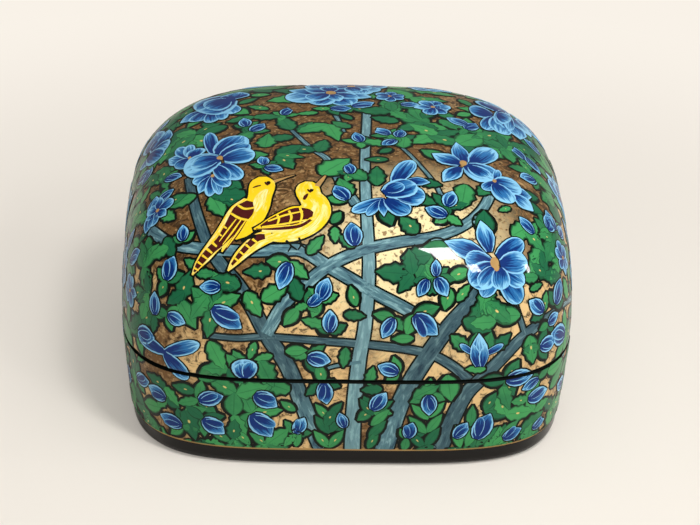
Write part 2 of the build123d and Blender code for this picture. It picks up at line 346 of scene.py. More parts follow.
# Big leaves on the front with room of their own: place of the stalk, length in mm and way.
SINGLE_LEAVES = [
    (291, 130, 9.0, -38), (300, 133, 7.8, 50), (293, 137, 7.4, -95), (316, 150, 7.6, -88),
    (318, 152, 8.0, 32), (395, 142, 7.0, 72), (388, 145, 7.2, -80), (403, 148, 7.6, 10),
    (358, 137, 7.0, 120), (350, 128, 6.4, -70), (398, 122, 7.6, -80), (418, 124, 8.6, 100),
    (366, 180, 8.4, -60), (350, 196, 8.0, -30), (440, 120, 7.0, 120), (300, 190, 7.0, 10),
    (286, 214, 6.4, 90), (212, 196, 9.0, 150), (196, 196, 8.0, -110), (222, 196, 8.6, 110),
    (166, 238, 7.0, 160), (486, 292, 9.0, 175), (530, 262, 9.5, 120), (512, 236, 9.0, 60),
    (240, 286, 8.0, -75), (246, 292, 7.4, 150), (262, 300, 7.6, 60), (300, 300, 6.6, -20),
]
# Slim leaves in pairs along upright stems low on the front, given in the same way.
STEM_LEAVES = [
    (329, 447, 6.6, -42), (329, 447, 6.6, 40), (329, 433, 6.6, -38), (329, 432, 6.4, 40),
    (329, 419, 6.0, -42), (328, 417, 5.8, 44),
    (368, 448, 6.4, 32), (369, 437, 6.8, 44), (371, 425, 6.8, 50), (373, 415, 6.2, -38),
    (375, 411, 5.6, 60),
    (424, 447, 6.6, -44), (425, 446, 6.8, 36), (426, 433, 7.0, -46), (427, 432, 6.8, 40),
    (428, 419, 6.4, -48), (429, 417, 6.0, 46),
    (460, 447, 7.2, -12), (466, 446, 7.6, 26), (476, 445, 7.6, 48), (492, 444, 7.0, 62),
    (470, 426, 6.6, 8), (500, 436, 6.6, 50),
    (296, 446, 6.6, 8), (288, 447, 6.8, -40), (270, 446, 6.8, -58), (250, 444, 6.6, -50),
    (230, 441, 6.4, -60),
]
# Both lists, each with its leaves' outline and their width over their length.
PLACED_LEAVES = (SINGLE_LEAVES, "broad_leaf", 0.62), (STEM_LEAVES, "slim_leaf", 0.42)

EYE_WIDTH, EYE_BELOW = 1.0, 0.4  # mm; how far below its place the eye starts
BODY_TONES = (0.02, 0.06, 0.16)  # of a bird's yellow strokes
FEATHER_LEVEL = 2  # steps of height under the finer strokes over them
# Those finer strokes, in the order they are laid: kind, finish and tone.
FEATHERS = (
    ("pale", "feather paint", -0.04), ("maroon", "feather bars", 0.0),
    ("edges", "feather paint", 0.1), ("ink", "ink", 0.0),
)
# Each bird's strokes as points with half the width in mm.
BIRDS = {
    "left": {
        "yellow": [
            [(192.5, 275, 0.2), (198, 266, 1.0), (205, 257, 1.6), (214, 246, 1.9),
             (226, 232, 2.5), (236, 219, 3.1), (243, 209, 3.0), (249, 200, 1.4)],
            [(222, 252, 0.2), (228, 240, 0.9), (237, 225, 1.6), (243, 215, 1.2)],
            [(235, 239, 0.4), (243, 231, 2.1), (251, 220, 3.0), (257, 207, 3.3), (260, 197, 3.1),
             (262, 188, 3.4), (262.5, 181.5, 2.9), (263, 177.5, 1.0)],
        ],
        "pale": [
            [(267, 190, 0.4), (262, 196, 1.3), (259, 203, 1.5), (255, 212, 0.6)],
        ],
        "maroon": [
            [(250, 202, 0.9), (244.5, 210, 2.7), (238, 219, 2.5), (229.5, 231, 1.9),
             (220.5, 242, 1.35), (211.5, 250, 1.15), (204.5, 257.5, 1.0), (198.5, 265.5, 0.7),
             (194.5, 272, 0.3)],
            [(247, 219, 0.3), (238, 233, 0.5), (225.5, 250.5, 0.2)],
            [(253, 188.5, 0.16), (257, 187, 0.3), (261, 186.2, 0.2)],
            [(265, 182.8, 0.16), (267.5, 185.4, 0.42), (270.5, 183.2, 0.16)],
        ],
        "edges": [
            [(238, 206, 0.3), (245, 209.5, 0.36), (254, 208.5, 0.25)],
            [(231, 214, 0.28), (240, 219, 0.36), (250, 221, 0.25)],
            [(246, 221, 0.14), (237, 234, 0.24), (227, 248, 0.1)],
            [(241.5, 220, 0.14), (233, 232, 0.24), (223, 245, 0.1)],
            [(236.5, 219.5, 0.14), (228.5, 230, 0.22), (219.5, 242, 0.1)],
            [(223, 226.5, 0.3), (227, 229, 0.2)], [(218, 233.5, 0.3), (222, 236.5, 0.2)],
            [(212, 242.5, 0.34), (217, 247, 0.24)], [(207, 249, 0.34), (212.5, 253.5, 0.24)],
            [(202.5, 255.5, 0.32), (208, 259.5, 0.2)], [(198, 262, 0.3), (203, 265.5, 0.2)],
            [(194.5, 268, 0.26), (199, 270.5, 0.2)],
        ],
        "beak": [
            [(274, 182.2, 0.62), (280, 180.2, 0.42), (288, 177.6, 0.22), (294.5, 175.6, 0.08)],
        ],
        "ink": [
            [(247, 243, 0.3), (246, 249, 0.2)], [(272, 179.6, 0.16), (272.6, 180.4, 0.16)],
        ],
        "eye": (268.5, 183.5),
    },
    "right": {
        "yellow": [
            [(228, 271, 0.2), (234, 263, 1.0), (242, 254, 1.5), (251, 246, 1.8), (260, 240, 2.0),
             (272, 236, 1.6)],
            [(268, 239, 0.6), (281, 236, 1.9), (294, 231, 3.0), (306, 222, 4.2), (314, 212, 4.4),
             (315, 204, 3.6), (310, 197, 3.1), (308, 192, 3.2), (308.5, 186, 2.6),
             (309, 182.5, 0.9)],
            [(254, 229.5, 0.2), (263, 227, 1.0), (273, 223, 1.8), (285, 219, 2.5),
             (297, 214, 2.6), (304, 211, 1.6)],
        ],
        "pale": [
            [(323, 205, 0.2), (322.5, 213, 0.5), (316, 224, 0.65), (303, 233, 0.6),
             (288, 237.5, 0.3)],
            [(262, 231, 0.3), (276, 231.5, 0.5), (292, 230, 0.3)],
        ],
        "maroon": [
            [(261, 227.5, 0.5), (272, 224, 1.55), (284, 220, 2.25), (297, 216, 2.5),
             (307, 214.5, 1.8), (313, 215, 0.7)],
            [(256, 229.6, 0.15), (277, 229.3, 0.4), (299, 226.8, 0.45), (311, 220.5, 0.35)],
            [(265, 237, 0.7), (257, 238.5, 1.0), (251, 243.5, 0.8), (244, 250.5, 0.7),
             (238.5, 257, 0.6), (232, 265, 0.3)],
            [(304, 200.5, 0.3), (305.5, 197.5, 0.5), (308, 194.5, 0.15)],
            [(307.5, 190, 0.16), (310, 192.6, 0.42), (313.5, 190.4, 0.16)],
        ],
        "edges": [
            [(277, 215, 0.3), (279, 220, 0.3), (277, 226, 0.2)],
            [(289, 211.5, 0.3), (291.5, 218, 0.32), (289, 225, 0.2)],
            [(300, 208.5, 0.3), (302, 216, 0.32), (300, 224, 0.2)],
            [(268, 222, 0.2), (285, 216, 0.28), (303, 212, 0.2)],
            [(262, 227.5, 0.16), (285, 224.5, 0.26), (307, 220.5, 0.2)],
            [(258, 229, 0.12), (276, 227.5, 0.2), (292, 226, 0.12)],
            [(252.5, 239.5, 0.32), (257, 243, 0.24)], [(246, 245, 0.3), (250.5, 249, 0.22)],
            [(240, 252, 0.28), (244.5, 255.5, 0.2)], [(235, 258.5, 0.26), (239, 261.5, 0.18)],
        ],
        "beak": [
            [(317, 187, 0.72), (320, 183.2, 0.6), (323.5, 179, 0.42), (325.5, 176.5, 0.2)],
        ],
        "ink": [
            [(286, 241, 0.3), (291, 246, 0.24), (288, 252, 0.14)],
            [(291, 246, 0.24), (297, 250, 0.14)],
            [(299, 238, 0.3), (301, 245, 0.24), (298, 250, 0.12)],
            [(301, 245, 0.22), (306, 249, 0.14)],
            [(256, 236.5, 0.45), (248, 238.5, 0.4), (241, 241.5, 0.2)],
        ],
        "eye": (311.5, 191.5),
    },
}

# A motif of length 1 from its root to its tip: (how far along, half its width there).
OUTLINES = {
    "broad_leaf": ((0, 0.05), (0.1, 0.2), (0.26, 0.33), (0.36, 0.29), (0.5, 0.37), (0.62, 0.26),
                   (0.76, 0.24), (0.9, 0.09), (1, 0.01)),
    "slim_leaf": ((0, 0.04), (0.14, 0.16), (0.32, 0.23), (0.52, 0.24), (0.72, 0.18), (0.88, 0.08),
                  (1, 0.01)),
    "lobed_leaf": ((0, 0.05), (0.07, 0.25), (0.2, 0.28), (0.33, 0.44), (0.45, 0.32), (0.6, 0.36),
                   (0.73, 0.2), (0.87, 0.12), (1, 0.01)),
    "round_petal": ((0, 0.14), (0.16, 0.27), (0.36, 0.35), (0.56, 0.38), (0.74, 0.36),
                    (0.88, 0.27), (0.96, 0.16), (1, 0.05)),
    "pointed_petal": ((0, 0.1), (0.2, 0.22), (0.42, 0.3), (0.62, 0.27), (0.82, 0.15), (1, 0.01)),
    "bud": ((0, 0.12), (0.12, 0.26), (0.32, 0.36), (0.52, 0.37), (0.72, 0.29), (0.88, 0.15),
            (1, 0.02)),
    "spot": ((0, 0.12), (0.12, 0.34), (0.3, 0.46), (0.5, 0.5), (0.7, 0.46), (0.88, 0.34),
             (1, 0.12)),
}
COLUMNS = {"round_petal": 4, "pointed_petal": 3, "bud": 4, "spot": 4}  # all others have 2
LEAF_SHAPES = ("broad_leaf", "broad_leaf", "slim_leaf", "lobed_leaf")
SMALL_LEAF_SHAPES = ("slim_leaf", "broad_leaf")
TWIG_LEAVES, BUD_LEAVES = (-70, 0, 65, 180), (-62, 58, 176)  # degrees from the twig's or bud's way

# Spreads of the random draws: shares of a length or a radius, tones, and degrees either way.
PETAL_REACHES, PETAL_SWING, PETAL_WIDTHS = (0.86, 1.08), 9, {ROUND: 0.72, POINTED: 0.6}
BUD_WIDTHS, BUD_TONES, BUD_LEAF_LENGTHS, BUD_LEAF_SWING = (0.6, 0.74), (-1.0, 0.4), (0.7, 0.95), 12
TWIG_LENGTHS, TWIG_WIDTHS, TWIG_SWING = (0.68, 1.15), (0.52, 0.74), 18
FILLER_LENGTHS, FILLER_WIDTHS = (0.5, 0.8), (0.45, 0.65)
SPRAY_TURN, INNER_TURN = 0.6, 0.5  # radians; of a spray's leaf and of a bud's inner petal


# ---- Sizes and colours that a user would change ---------------------------------------

def paint(red, green, blue):
    """A paint as mixed on a 0 to 255 palette, in the linear values that shaders take."""
    shares = (value / 255 for value in (red, green, blue))
    return tuple(((v + 0.055) / 1.055) ** 2.4 if v > 0.04 else v / 12.92 for v in shares)


def colour_property(name, description, *palette):
    return bpy.props.FloatVectorProperty(
        name=name, description=description, default=paint(*palette),
        size=3, min=0, max=1, subtype="COLOR",
    )


def length_property(name, description, millimetres):
    return bpy.props.FloatProperty(
        name=name, description=description, default=millimetres * MM,
        min=0, precision=5, unit="LENGTH",
    )


class PaintSizes(bpy.types.PropertyGroup):
    """Sizes of the brush work."""

    twig_spacing: length_property("Twig spacing", "Least distance between sprays of leaves", 6.0)
    leaf_length: length_property("Leaf length", "Length of an average leaf", 8.2)
    leaf_line: length_property("Leaf outline", "Width of the black line round a leaf", 0.46)
    trunk_line: length_property("Trunk outline", "Width of the black line along a trunk", 0.5)
    petal_line: length_property("Petal outline", "Width of the dark line round a petal", 0.28)
    bird_line: length_property("Bird outline", "Width of the black line round a bird", 0.5)


class PaintColours(bpy.types.PropertyGroup):
    """Colours of the paints and of the lacquer."""

    gold_pale: colour_property("Pale gold", "Gold ground where it is thick", 220, 186, 130)
    # Painted highlight: the gold where the lamp would shine in it.
    gold_highlight: colour_property("Bright gold", "Gold ground where it shines", 240, 220, 168)
    # Deep gold is also the painted shade towards the top and the left.
    gold_deep: colour_property("Deep gold", "Gold ground where it is rubbed thin", 112, 80, 44)
    gold_umber: colour_property("Umber", "Dark flecks and rubbed places in the gold", 50, 34, 18)
    ink: colour_property("Ink", "Outlines and the bare lips", 3, 8, 4)
    lacquer: colour_property("Black lacquer", "Foot, floor, collar and the inside", 8, 6, 5)
    leaf_bright: colour_property("Bright leaf", "Lightest green", 62, 150, 84)
    leaf_deep: colour_property("Deep leaf", "Darkest green", 24, 98, 64)
    leaf_dot: colour_property("Leaf dot", "Touch of cream on some leaves", 206, 184, 112)
    petal_pale: colour_property("Pale petal", "Rim of a petal", 138, 200, 232)
    petal_mid: colour_property("Middle blue", "Between the rim and the root", 38, 108, 166)
    petal_royal: colour_property("Royal blue", "Root and streaks of a petal", 2, 42, 108)
    bark: colour_property("Bark", "Trunks and branches", 80, 118, 128)
    bark_pale: colour_property("Pale bark", "Lit streaks along a trunk", 134, 174, 178)
    bark_deep: colour_property("Deep bark", "Shaded streaks along a trunk", 44, 74, 90)
    stamen: colour_property("Stamen gold", "Middle of a flower", 178, 140, 84)
    feather: colour_property("Yellow feather", "Birds", 242, 202, 24)
    feather_pale: colour_property("Pale feather", "Breast and feather edges", 244, 230, 160)
    feather_bar: colour_property("Feather bar", "Bars on wings and tail", 72, 20, 16)


# ---- Nodes ------------------------------------------------------------------------------

def link(tree, source, target):
    tree.links.new(source, target)


def feed(tree, socket, value):
    """Gives a socket a number, a colour or another node's output."""
    if isinstance(value, bpy.types.NodeSocket):
        link(tree, value, socket)
    elif socket.type == "RGBA" and len(value) == 3:
        socket.default_value = (*value, 1)
    else:
        socket.default_value = value


def put(tree, kind, inputs=None, **settings):
    """A node with its settings and what its inputs are given."""
    node = tree.nodes.new(kind)
    for name, value in settings.items():
        setattr(node, name, value)
    for name, value in (inputs or {}).items():
        feed(tree, node.inputs[name], value)
    return node


def maths(tree, operation, first, second=0.5, third=0.5):
    inputs = {0: first, 1: second, 2: third}
    return put(tree, "ShaderNodeMath", inputs, operation=operation).outputs[0]


def ramp(tree, value, low, high):
    """0 at the low value, 1 at the high one, eased between them."""
    inputs = {"Value": value, "From Min": low, "From Max": high}
    node = put(tree, "ShaderNodeMapRange", inputs, interpolation_type="SMOOTHSTEP")
    return node.outputs["Result"]


def blend(tree, factor, first, second):
    """Two colours mixed. A colour mix takes its factor as input 0 and its colours as 6 and 7."""
    inputs = {0: factor, 6: first, 7: second}
    return put(tree, "ShaderNodeMix", inputs, data_type="RGBA").outputs[2]


def noise(tree, vector, scale, detail=3.0, roughness=0.55, distortion=0.0):
    inputs = {
        "Vector": vector, "Scale": scale, "Detail": detail, "Roughness": roughness,
        "Distortion": distortion,
    }
    return put(tree, "ShaderNodeTexNoise", inputs).outputs["Fac"]


def coordinates(tree):
    return tree.nodes.new("ShaderNodeTexCoord").outputs


def apart(tree, vector):
    """The X, Y and Z of a vector."""
    return put(tree, "ShaderNodeSeparateXYZ", {"Vector": vector}).outputs


def vector_maths(tree, operation, first, second=(0, 0, 0)):
    node = put(tree, "ShaderNodeVectorMath", {0: first, 1: second}, operation=operation)
    return node.outputs["Vector" if operation == "SUBTRACT" else "Value"]


def tone_of(tree):
    return put(tree, "ShaderNodeAttribute", attribute_name="tone").outputs["Fac"]


FLOAT, COLOUR, VECTOR = "NodeSocketFloat", "NodeSocketColor", "NodeSocketVector"


def new_group(name, inputs, output, kind):
    """A node group's tree, what it is given and the socket for what it gives."""
    tree = bpy.data.node_groups.new(name, "ShaderNodeTree")
    for label, socket_type in inputs.items():
        tree.interface.new_socket(label, in_out="INPUT", socket_type=socket_type)
    tree.interface.new_socket(output, in_out="OUTPUT", socket_type=kind)
    given = tree.nodes.new("NodeGroupInput").outputs
    return tree, given, tree.nodes.new("NodeGroupOutput").inputs[output]


def relief_group(name):
    """Normal of varnish that has pooled round the brush work."""
    tree, given, result = new_group(name, {"Strength": FLOAT, "Scale": FLOAT}, "Normal", VECTOR)
    place = coordinates(tree)["Object"]
    fine = noise(tree, place, given["Scale"], 2.0)
    height = maths(tree, "MULTIPLY_ADD", noise(tree, place, 90.0, 1.0), 1.5, fine)
    inputs = {"Strength": given["Strength"], "Distance": RELIEF_DEPTH, "Height": height}
    link(tree, put(tree, "ShaderNodeBump", inputs).outputs["Normal"], result)
    return tree


def streaks_group(name):
    """Streaks along a motif or a stroke, which the tone shifts from one to the next."""
    inputs = dict.fromkeys(PETAL_STREAKS, FLOAT)
    tree, given, result = new_group(name, inputs, "Streaks", FLOAT)
    parts = apart(tree, coordinates(tree)["UV"])
    place = put(tree, "ShaderNodeCombineXYZ", {
        "X": maths(tree, "MULTIPLY", parts["X"], given["Across"]),
        "Y": maths(tree, "MULTIPLY", parts["Y"], given["Along"]),
        "Z": maths(tree, "MULTIPLY", tone_of(tree), given["Shift"]),
    }).outputs[0]
    texture = (given[name] for name in ("Detail", "Roughness", "Distortion"))
    link(tree, noise(tree, place, 1.0, *texture), result)
    return tree


def uneven_group(name):
    """One paint, as uneven as brushed paint is, from its thin to its thick colour."""
    inputs = {"Scale": FLOAT, "Detail": FLOAT, "Thin": COLOUR, "Thick": COLOUR}
    tree, given, result = new_group(name, inputs, "Paint", COLOUR)
    spread = noise(tree, coordinates(tree)["Object"], given["Scale"], given["Detail"])
    link(tree, blend(tree, spread, given["Thin"], given["Thick"]), result)
    return tree


EFFECTS = {
    "Varnish relief": relief_group, "Brush streaks": streaks_group, "Uneven paint": uneven_group,
}


def effect(tree, name, **values):
    """Places an effect in a material, with the material's own values. Its group is made once."""
    group = tree.nodes.new("ShaderNodeGroup")
    group.node_tree = bpy.data.node_groups.get(name) or EFFECTS[name](name)
    for label, value in values.items():
        feed(tree, group.inputs[label], value)
    return group.outputs[0]


def varnished(name):
    """A new material: the named paint under clear varnish."""
    finish = bpy.data.materials.new(name)
    finish.use_nodes = True
    tree = finish.node_tree
    shader = tree.nodes["Principled BSDF"]
    for socket, value in (
        ("Roughness", PAINT_ROUGHNESS), ("Specular IOR Level", PAINT_SPECULAR),
        ("Coat Weight", LACQUER_COAT if name == "black lacquer" else COAT),
        ("Coat Roughness", COAT_ROUGHNESS), ("Coat IOR", COAT_IOR),
    ):
        shader.inputs[socket].default_value = value
    colour = plain_colour(tree, *PLAIN_PAINTS[name]) if name in PLAIN_PAINTS else DRAWN[name](tree)
    link(tree, colour, shader.inputs["Base Color"])
    relief = effect(tree, "Varnish relief", Strength=RELIEF, Scale=RELIEF_SCALE)
    link(tree, relief, shader.inputs["Normal"])
    return finish


def colours():
    return bpy.context.scene.painted_box_colours


def sizes():
    return bpy.context.scene.painted_box_sizes


def ground_colour(tree):
    """Gold outside with painted shade and a painted highlight, black inside and on the lips, and
    the line of gold above the foot.
    """
    paints = colours()
    place = coordinates(tree)["Object"]
    parts = apart(tree, place)
    patches, smears, stipple = (noise(tree, place, *kind) for kind in (PATCHES, SMEARS, STIPPLE))
    # Painted shade: the gold deepens towards the top and the left, on top of its random wear.
    height = ramp(tree, parts["Z"], *SHADED_LEVELS)
    left_shade = maths(tree, "MULTIPLY", ramp(tree, parts["X"], *SHADED_SIDE), SIDE_SHADE)
    worn_and_shaded = maths(tree, "MULTIPLY_ADD", height, HEIGHT_SHADE, maths(tree, "ADD", patches, left_shade))
    worn_and_shaded = maths(tree, "MULTIPLY_ADD", smears, SMEAR_WEAR, worn_and_shaded)
    gold = blend(tree, ramp(tree, worn_and_shaded, *WORN_AND_SHADED), paints.gold_pale, paints.gold_deep)
    light = maths(tree, "MULTIPLY", ramp(tree, stipple, *STIPPLED), STIPPLE_SHARE)
    gold = blend(tree, light, gold, paints.gold_pale)
    # Dark flecks, with more of them higher up as painted shade.
    dark = ramp(tree, maths(tree, "MULTIPLY_ADD", height, HEIGHT_SHADE_FLECKS, smears), *FLECKED)
    gold = blend(tree, maths(tree, "MULTIPLY", dark, FLECK_SHARE), gold, paints.gold_umber)
    # Painted highlight: the gold is made bright round the place on the front where the lamp would
    # shine in it.
    from_highlight = vector_maths(tree, "DISTANCE", place, sight(FRONT, *HIGHLIGHT_POINT)[0])
    glow = ramp(tree, from_highlight, *HIGHLIGHT_REACH)
    glow = maths(tree, "MULTIPLY", glow, ramp(tree, stipple, *HIGHLIGHT_STIPPLE))
    gold = blend(tree, glow, gold, paints.gold_highlight)
    line = ramp(tree, parts["Z"], *(FOOT_TOP + share * GOLD_LINE for share in GOLD_LINE_EDGE))
    gold = blend(tree, line, gold, paints.stamen)
    from_seam = maths(tree, "ABSOLUTE", maths(tree, "SUBTRACT", parts["Z"], SEAM))
    lip = maths(tree, "LESS_THAN", from_seam, HALF_LIP * BARE_LIP)
    from_middle = vector_maths(tree, "SUBTRACT", place, (0, 0, SEAM))
    face = tree.nodes.new("ShaderNodeNewGeometry").outputs["Normal"]
    inside = maths(tree, "LESS_THAN", vector_maths(tree, "DOT_PRODUCT", face, from_middle), INSIDE)
    bare = maths(tree, "MAXIMUM", lip, inside)
    shader = tree.nodes["Principled BSDF"]
    link(tree, maths(tree, "MULTIPLY_ADD", lip, -COAT, COAT), shader.inputs["Coat Weight"])
    rough = maths(tree, "MULTIPLY_ADD", bare, BARE_ROUGHNESS, PAINT_ROUGHNESS)
    link(tree, rough, shader.inputs["Roughness"])
    return blend(tree, bare, gold, paints.ink)


def leaf_colour(tree):
    """Greens that differ from leaf to leaf, brushed along it, with a dot of cream on some."""
    paints = colours()
    tone = tone_of(tree)
    place, flat = (coordinates(tree)[name] for name in ("Object", "UV"))
    brushed = noise(tree, place, *LEAF_BRUSHED)
    broad = noise(tree, place, *LEAF_BROAD)
    shade = maths(tree, "MULTIPLY_ADD", broad, BROAD_SHADE, LEAF_SHADE)
    shade = maths(tree, "MULTIPLY_ADD", brushed, BRUSHED_SHADE, shade)
    depth = ramp(tree, maths(tree, "ADD", tone, shade), 0.0, 1.0)
    green = blend(tree, depth, paints.leaf_bright, paints.leaf_deep)
    side = maths(tree, "ABSOLUTE", maths(tree, "MULTIPLY_ADD", apart(tree, flat)["X"], 2.0, -1.0))
    edge = ramp(tree, maths(tree, "MULTIPLY_ADD", brushed, EDGE_WAVE, side), *LEAF_EDGE)
    edge = maths(tree, "MULTIPLY", edge, EDGE_SHARE)
    green = blend(tree, edge, green, paints.leaf_deep * EDGE_DARK)
    vein = maths(tree, "MULTIPLY", ramp(tree, side, *VEIN), VEIN_SHARE)
    green = blend(tree, vein, green, paints.leaf_deep * VEIN_DARK)
    lot = maths(tree, "FRACT", maths(tree, "MULTIPLY", tone, DOT_LOTS))
    dotted = maths(tree, "GREATER_THAN", lot, UNDOTTED)
    from_dot = vector_maths(tree, "DISTANCE", flat, DOT_PLACE)
    dot = maths(tree, "MULTIPLY", ramp(tree, from_dot, *DOT_RADII), dotted)
    return blend(tree, dot, green, paints.leaf_dot)


def petal_colour(tree):
    """Royal blue brushed out from the root over a middle blue, with a pale rim."""
    paints = colours()
    parts = apart(tree, coordinates(tree)["UV"])
    streaks = effect(tree, "Brush streaks", **PETAL_STREAKS)
    side = maths(tree, "ABSOLUTE", maths(tree, "MULTIPLY_ADD", parts["X"], 2.0, -1.0))
    reach = maths(tree, "MULTIPLY_ADD", streaks, STREAK_BLUE, parts["Y"])
    reach = maths(tree, "MULTIPLY_ADD", maths(tree, "POWER", side, 2.0), SIDE_BLUE, reach)
    reach = maths(tree, "MULTIPLY_ADD", tone_of(tree), TONE_BLUE, reach)
    pale = blend(tree, ramp(tree, reach, *PALE_BLUE), paints.petal_mid, paints.petal_pale)
    blue = blend(tree, ramp(tree, reach, *ROYAL_BLUE), pale, paints.petal_royal)
    edge = ramp(tree, maths(tree, "MULTIPLY_ADD", streaks, SIDE_WAVE, side), *RIM_SIDE)
    end = ramp(tree, maths(tree, "MULTIPLY_ADD", streaks, END_WAVE, parts["Y"]), *RIM_END)
    rim = maths(tree, "MULTIPLY", maths(tree, "MAXIMUM", edge, end), RIM_SHARE)
    return blend(tree, rim, blue, paints.petal_pale)


def bark_colour(tree):
    """Slate blue in streaks along the trunk; the whole part of the tone is the shade."""
    paints = colours()
    streaks = effect(tree, "Brush streaks", **BARK_STREAKS)
    body = blend(tree, ramp(tree, streaks, *STREAK_PALE), paints.bark, paints.bark_pale)
    body = blend(tree, ramp(tree, streaks, *STREAK_DEEP), body, paints.bark_deep)
    shade = maths(tree, "FLOOR", tone_of(tree))
    pale, dark, darkening = (
        maths(tree, "COMPARE", shade, kind, 0.1) for kind in (PALE, DARK, DARKENING)
    )
    along = apart(tree, coordinates(tree)["UV"])["Y"]
    up = maths(tree, "MULTIPLY", darkening, ramp(tree, along, *DARKENED))
    body = blend(tree, maths(tree, "MULTIPLY", pale, PALE_SHARE), body, paints.bark_pale)
    dark = maths(tree, "MULTIPLY", maths(tree, "MAXIMUM", dark, up), DARK_SHARE)
    return blend(tree, dark, body, paints.bark_deep * DARK_BARK)


def feather_colour(tree):
    """Yellow, paler where the tone is low, in fine strokes."""
    paints = colours()
    streaks = effect(tree, "Brush streaks", **FEATHER_STREAKS)
    full = ramp(tree, maths(tree, "ADD", streaks, tone_of(tree)), *STREAK_YELLOW)
    return blend(tree, full, paints.feather_pale, paints.feather)


def plain_colour(tree, name, scale, detail, *shares):
    """One paint's colour, between two shares of it."""
    shade = getattr(colours(), name)
    thin, thick = (tuple(min(1, share * value) for value in shade) for share in shares)
    return effect(tree, "Uneven paint", Scale=scale, Detail=detail, Thin=thin, Thick=thick)


DRAWN = {
    "gold ground": ground_colour, "leaf paint": leaf_colour, "petal paint": petal_colour,
    "bark paint": bark_colour, "feather paint": feather_colour,
}


def material(name):
    """The named finish, made once."""
    return bpy.data.materials.get(name) or varnished(name)


# ---- The viewer and the canvas ----------------------------------------------------------

VIEW_RISE, VIEW_ASIDE, VIEW_ROLL = map(math.radians, (26.3, 1.86, 1.47))
VIEW_DISTANCE = 0.909
VIEW_AIM = Vector((0.0012, 0.0, 0.0321))
tools = {}  # the canvas and its tree for casting rays

OUTWARDS, CANVAS_FOOT = 0.3, 0.5 * MM  # least slope outwards and least height of the canvas
BRIDGED = 3 * HALF_LIP  # open edges nearer to the seam than this are bridged


def viewer(side):
    """Where a viewer of a side stands, as the matrix of an eye that looks along -Z."""
    level = math.cos(VIEW_RISE)
    aside, ahead = math.sin(VIEW_ASIDE), math.cos(VIEW_ASIDE)
    back = Vector((-level * aside, -level * ahead, math.sin(VIEW_RISE)))
    right = Vector((0, 0, 1)).cross(back).normalized()
    up = back.cross(right)
    right = right * math.cos(VIEW_ROLL) + up * math.sin(VIEW_ROLL)
    matrix = Matrix((right, back.cross(right), back)).transposed().to_4x4()
    matrix.translation = VIEW_AIM + VIEW_DISTANCE * back
    return Matrix.Rotation(side * math.pi / 2, 4, "Z") @ matrix


def show(name, mesh):
    """Puts a mesh into the scene as a piece."""
    piece = bpy.data.objects.new(name, mesh)
    bpy.context.scene.collection.objects.link(piece)
    return piece


def pick(*pieces):
    """Selects these alone; the last is active."""
    bpy.ops.object.select_all(action="DESELECT")
    for piece in pieces:
        piece.select_set(True)
    bpy.context.view_layer.objects.active = pieces[-1]


def join(pieces):
    """One piece of all these."""
    pick(*pieces)
    if len(pieces) > 1:
        bpy.ops.object.join()
    return bpy.context.view_layer.objects.active


def make_canvas():
    """One smooth skin round the shells' outsides. Motifs are placed on it and pressed to it."""
    shells = ("foot_ring", "base_shell", "lid_shell")
    canvas = join([show("canvas", NODES[name].data.copy()) for name in shells])
    bpy.ops.object.mode_set(mode="EDIT")
    bpy.ops.mesh.select_all(action="SELECT")
    bpy.ops.mesh.customdata_custom_splitnormals_clear()
    bpy.ops.mesh.remove_doubles(threshold=1e-6)
    bpy.ops.mesh.select_mode(type="FACE")
    bpy.ops.mesh.select_all(action="DESELECT")
    bpy.ops.object.mode_set(mode="OBJECT")
    middle = Vector((0, 0, SEAM))
    for face in canvas.data.polygons:
        outward = (face.center - middle).normalized()
        edge_on = abs(face.center.z - SEAM) < HALF_LIP
        turned_in = face.normal.dot(outward) < OUTWARDS
        face.select = turned_in or edge_on or face.center.z < CANVAS_FOOT
    bpy.ops.object.mode_set(mode="EDIT")
    bpy.ops.mesh.delete(type="FACE")
    bpy.ops.mesh.select_mode(type="EDGE")
    bpy.ops.mesh.select_all(action="DESELECT")
    bpy.ops.mesh.select_non_manifold()
    bpy.ops.object.mode_set(mode="OBJECT")
    mesh = canvas.data
    for edge in mesh.edges:
        heights = [abs(mesh.vertices[v].co.z - SEAM) for v in edge.vertices]
        edge.select = edge.select and max(heights) < BRIDGED
    bpy.ops.object.mode_set(mode="EDIT")
    bpy.ops.mesh.bridge_edge_loops()
    bpy.ops.mesh.select_all(action="SELECT")
    bpy.ops.mesh.quads_convert_to_tris()
    bpy.ops.mesh.subdivide(number_cuts=1, smoothness=1.0)
    bpy.ops.object.mode_set(mode="OBJECT")
    canvas.data.shade_smooth()
    tools["canvas"] = canvas
    tools["tree"] = BVHTree.FromObject(canvas, bpy.context.evaluated_depsgraph_get())


def sight(side, x, y):
    """Place and normal where the viewer's line through a point of the view meets the box."""
    view = viewer(side)
    right, up = (x - VIEW_WIDTH / 2) / POINTS_PER_UNIT, (VIEW_HEIGHT / 2 - y) / POINTS_PER_UNIT
    ray = (view.to_3x3() @ Vector((right, up, -1))).normalized()
    place, normal, _, _ = tools["tree"].ray_cast(view.translation, ray)
    if place is None:  # past the edge that the viewer sees: the nearest place on it
        closest = view.translation + ray * (VIEW_AIM - view.translation).dot(ray)
        place, normal, _, _ = tools["tree"].find_nearest(closest)
    return place, normal


def aimed(side, x, y, turn=0.0, ahead=5):
    """Place, normal and the way towards a point ahead; the turn is in degrees from up."""
    place, normal = sight(side, x, y)
    angle = math.radians(turn)
    beyond, _ = sight(side, x + ahead * math.sin(angle), y - ahead * math.cos(angle))
    return place, normal, beyond - place


def turned(way, normal, angle):
    return Matrix.Rotation(angle, 3, normal) @ way


# ---- Motifs -----------------------------------------------------------------------------

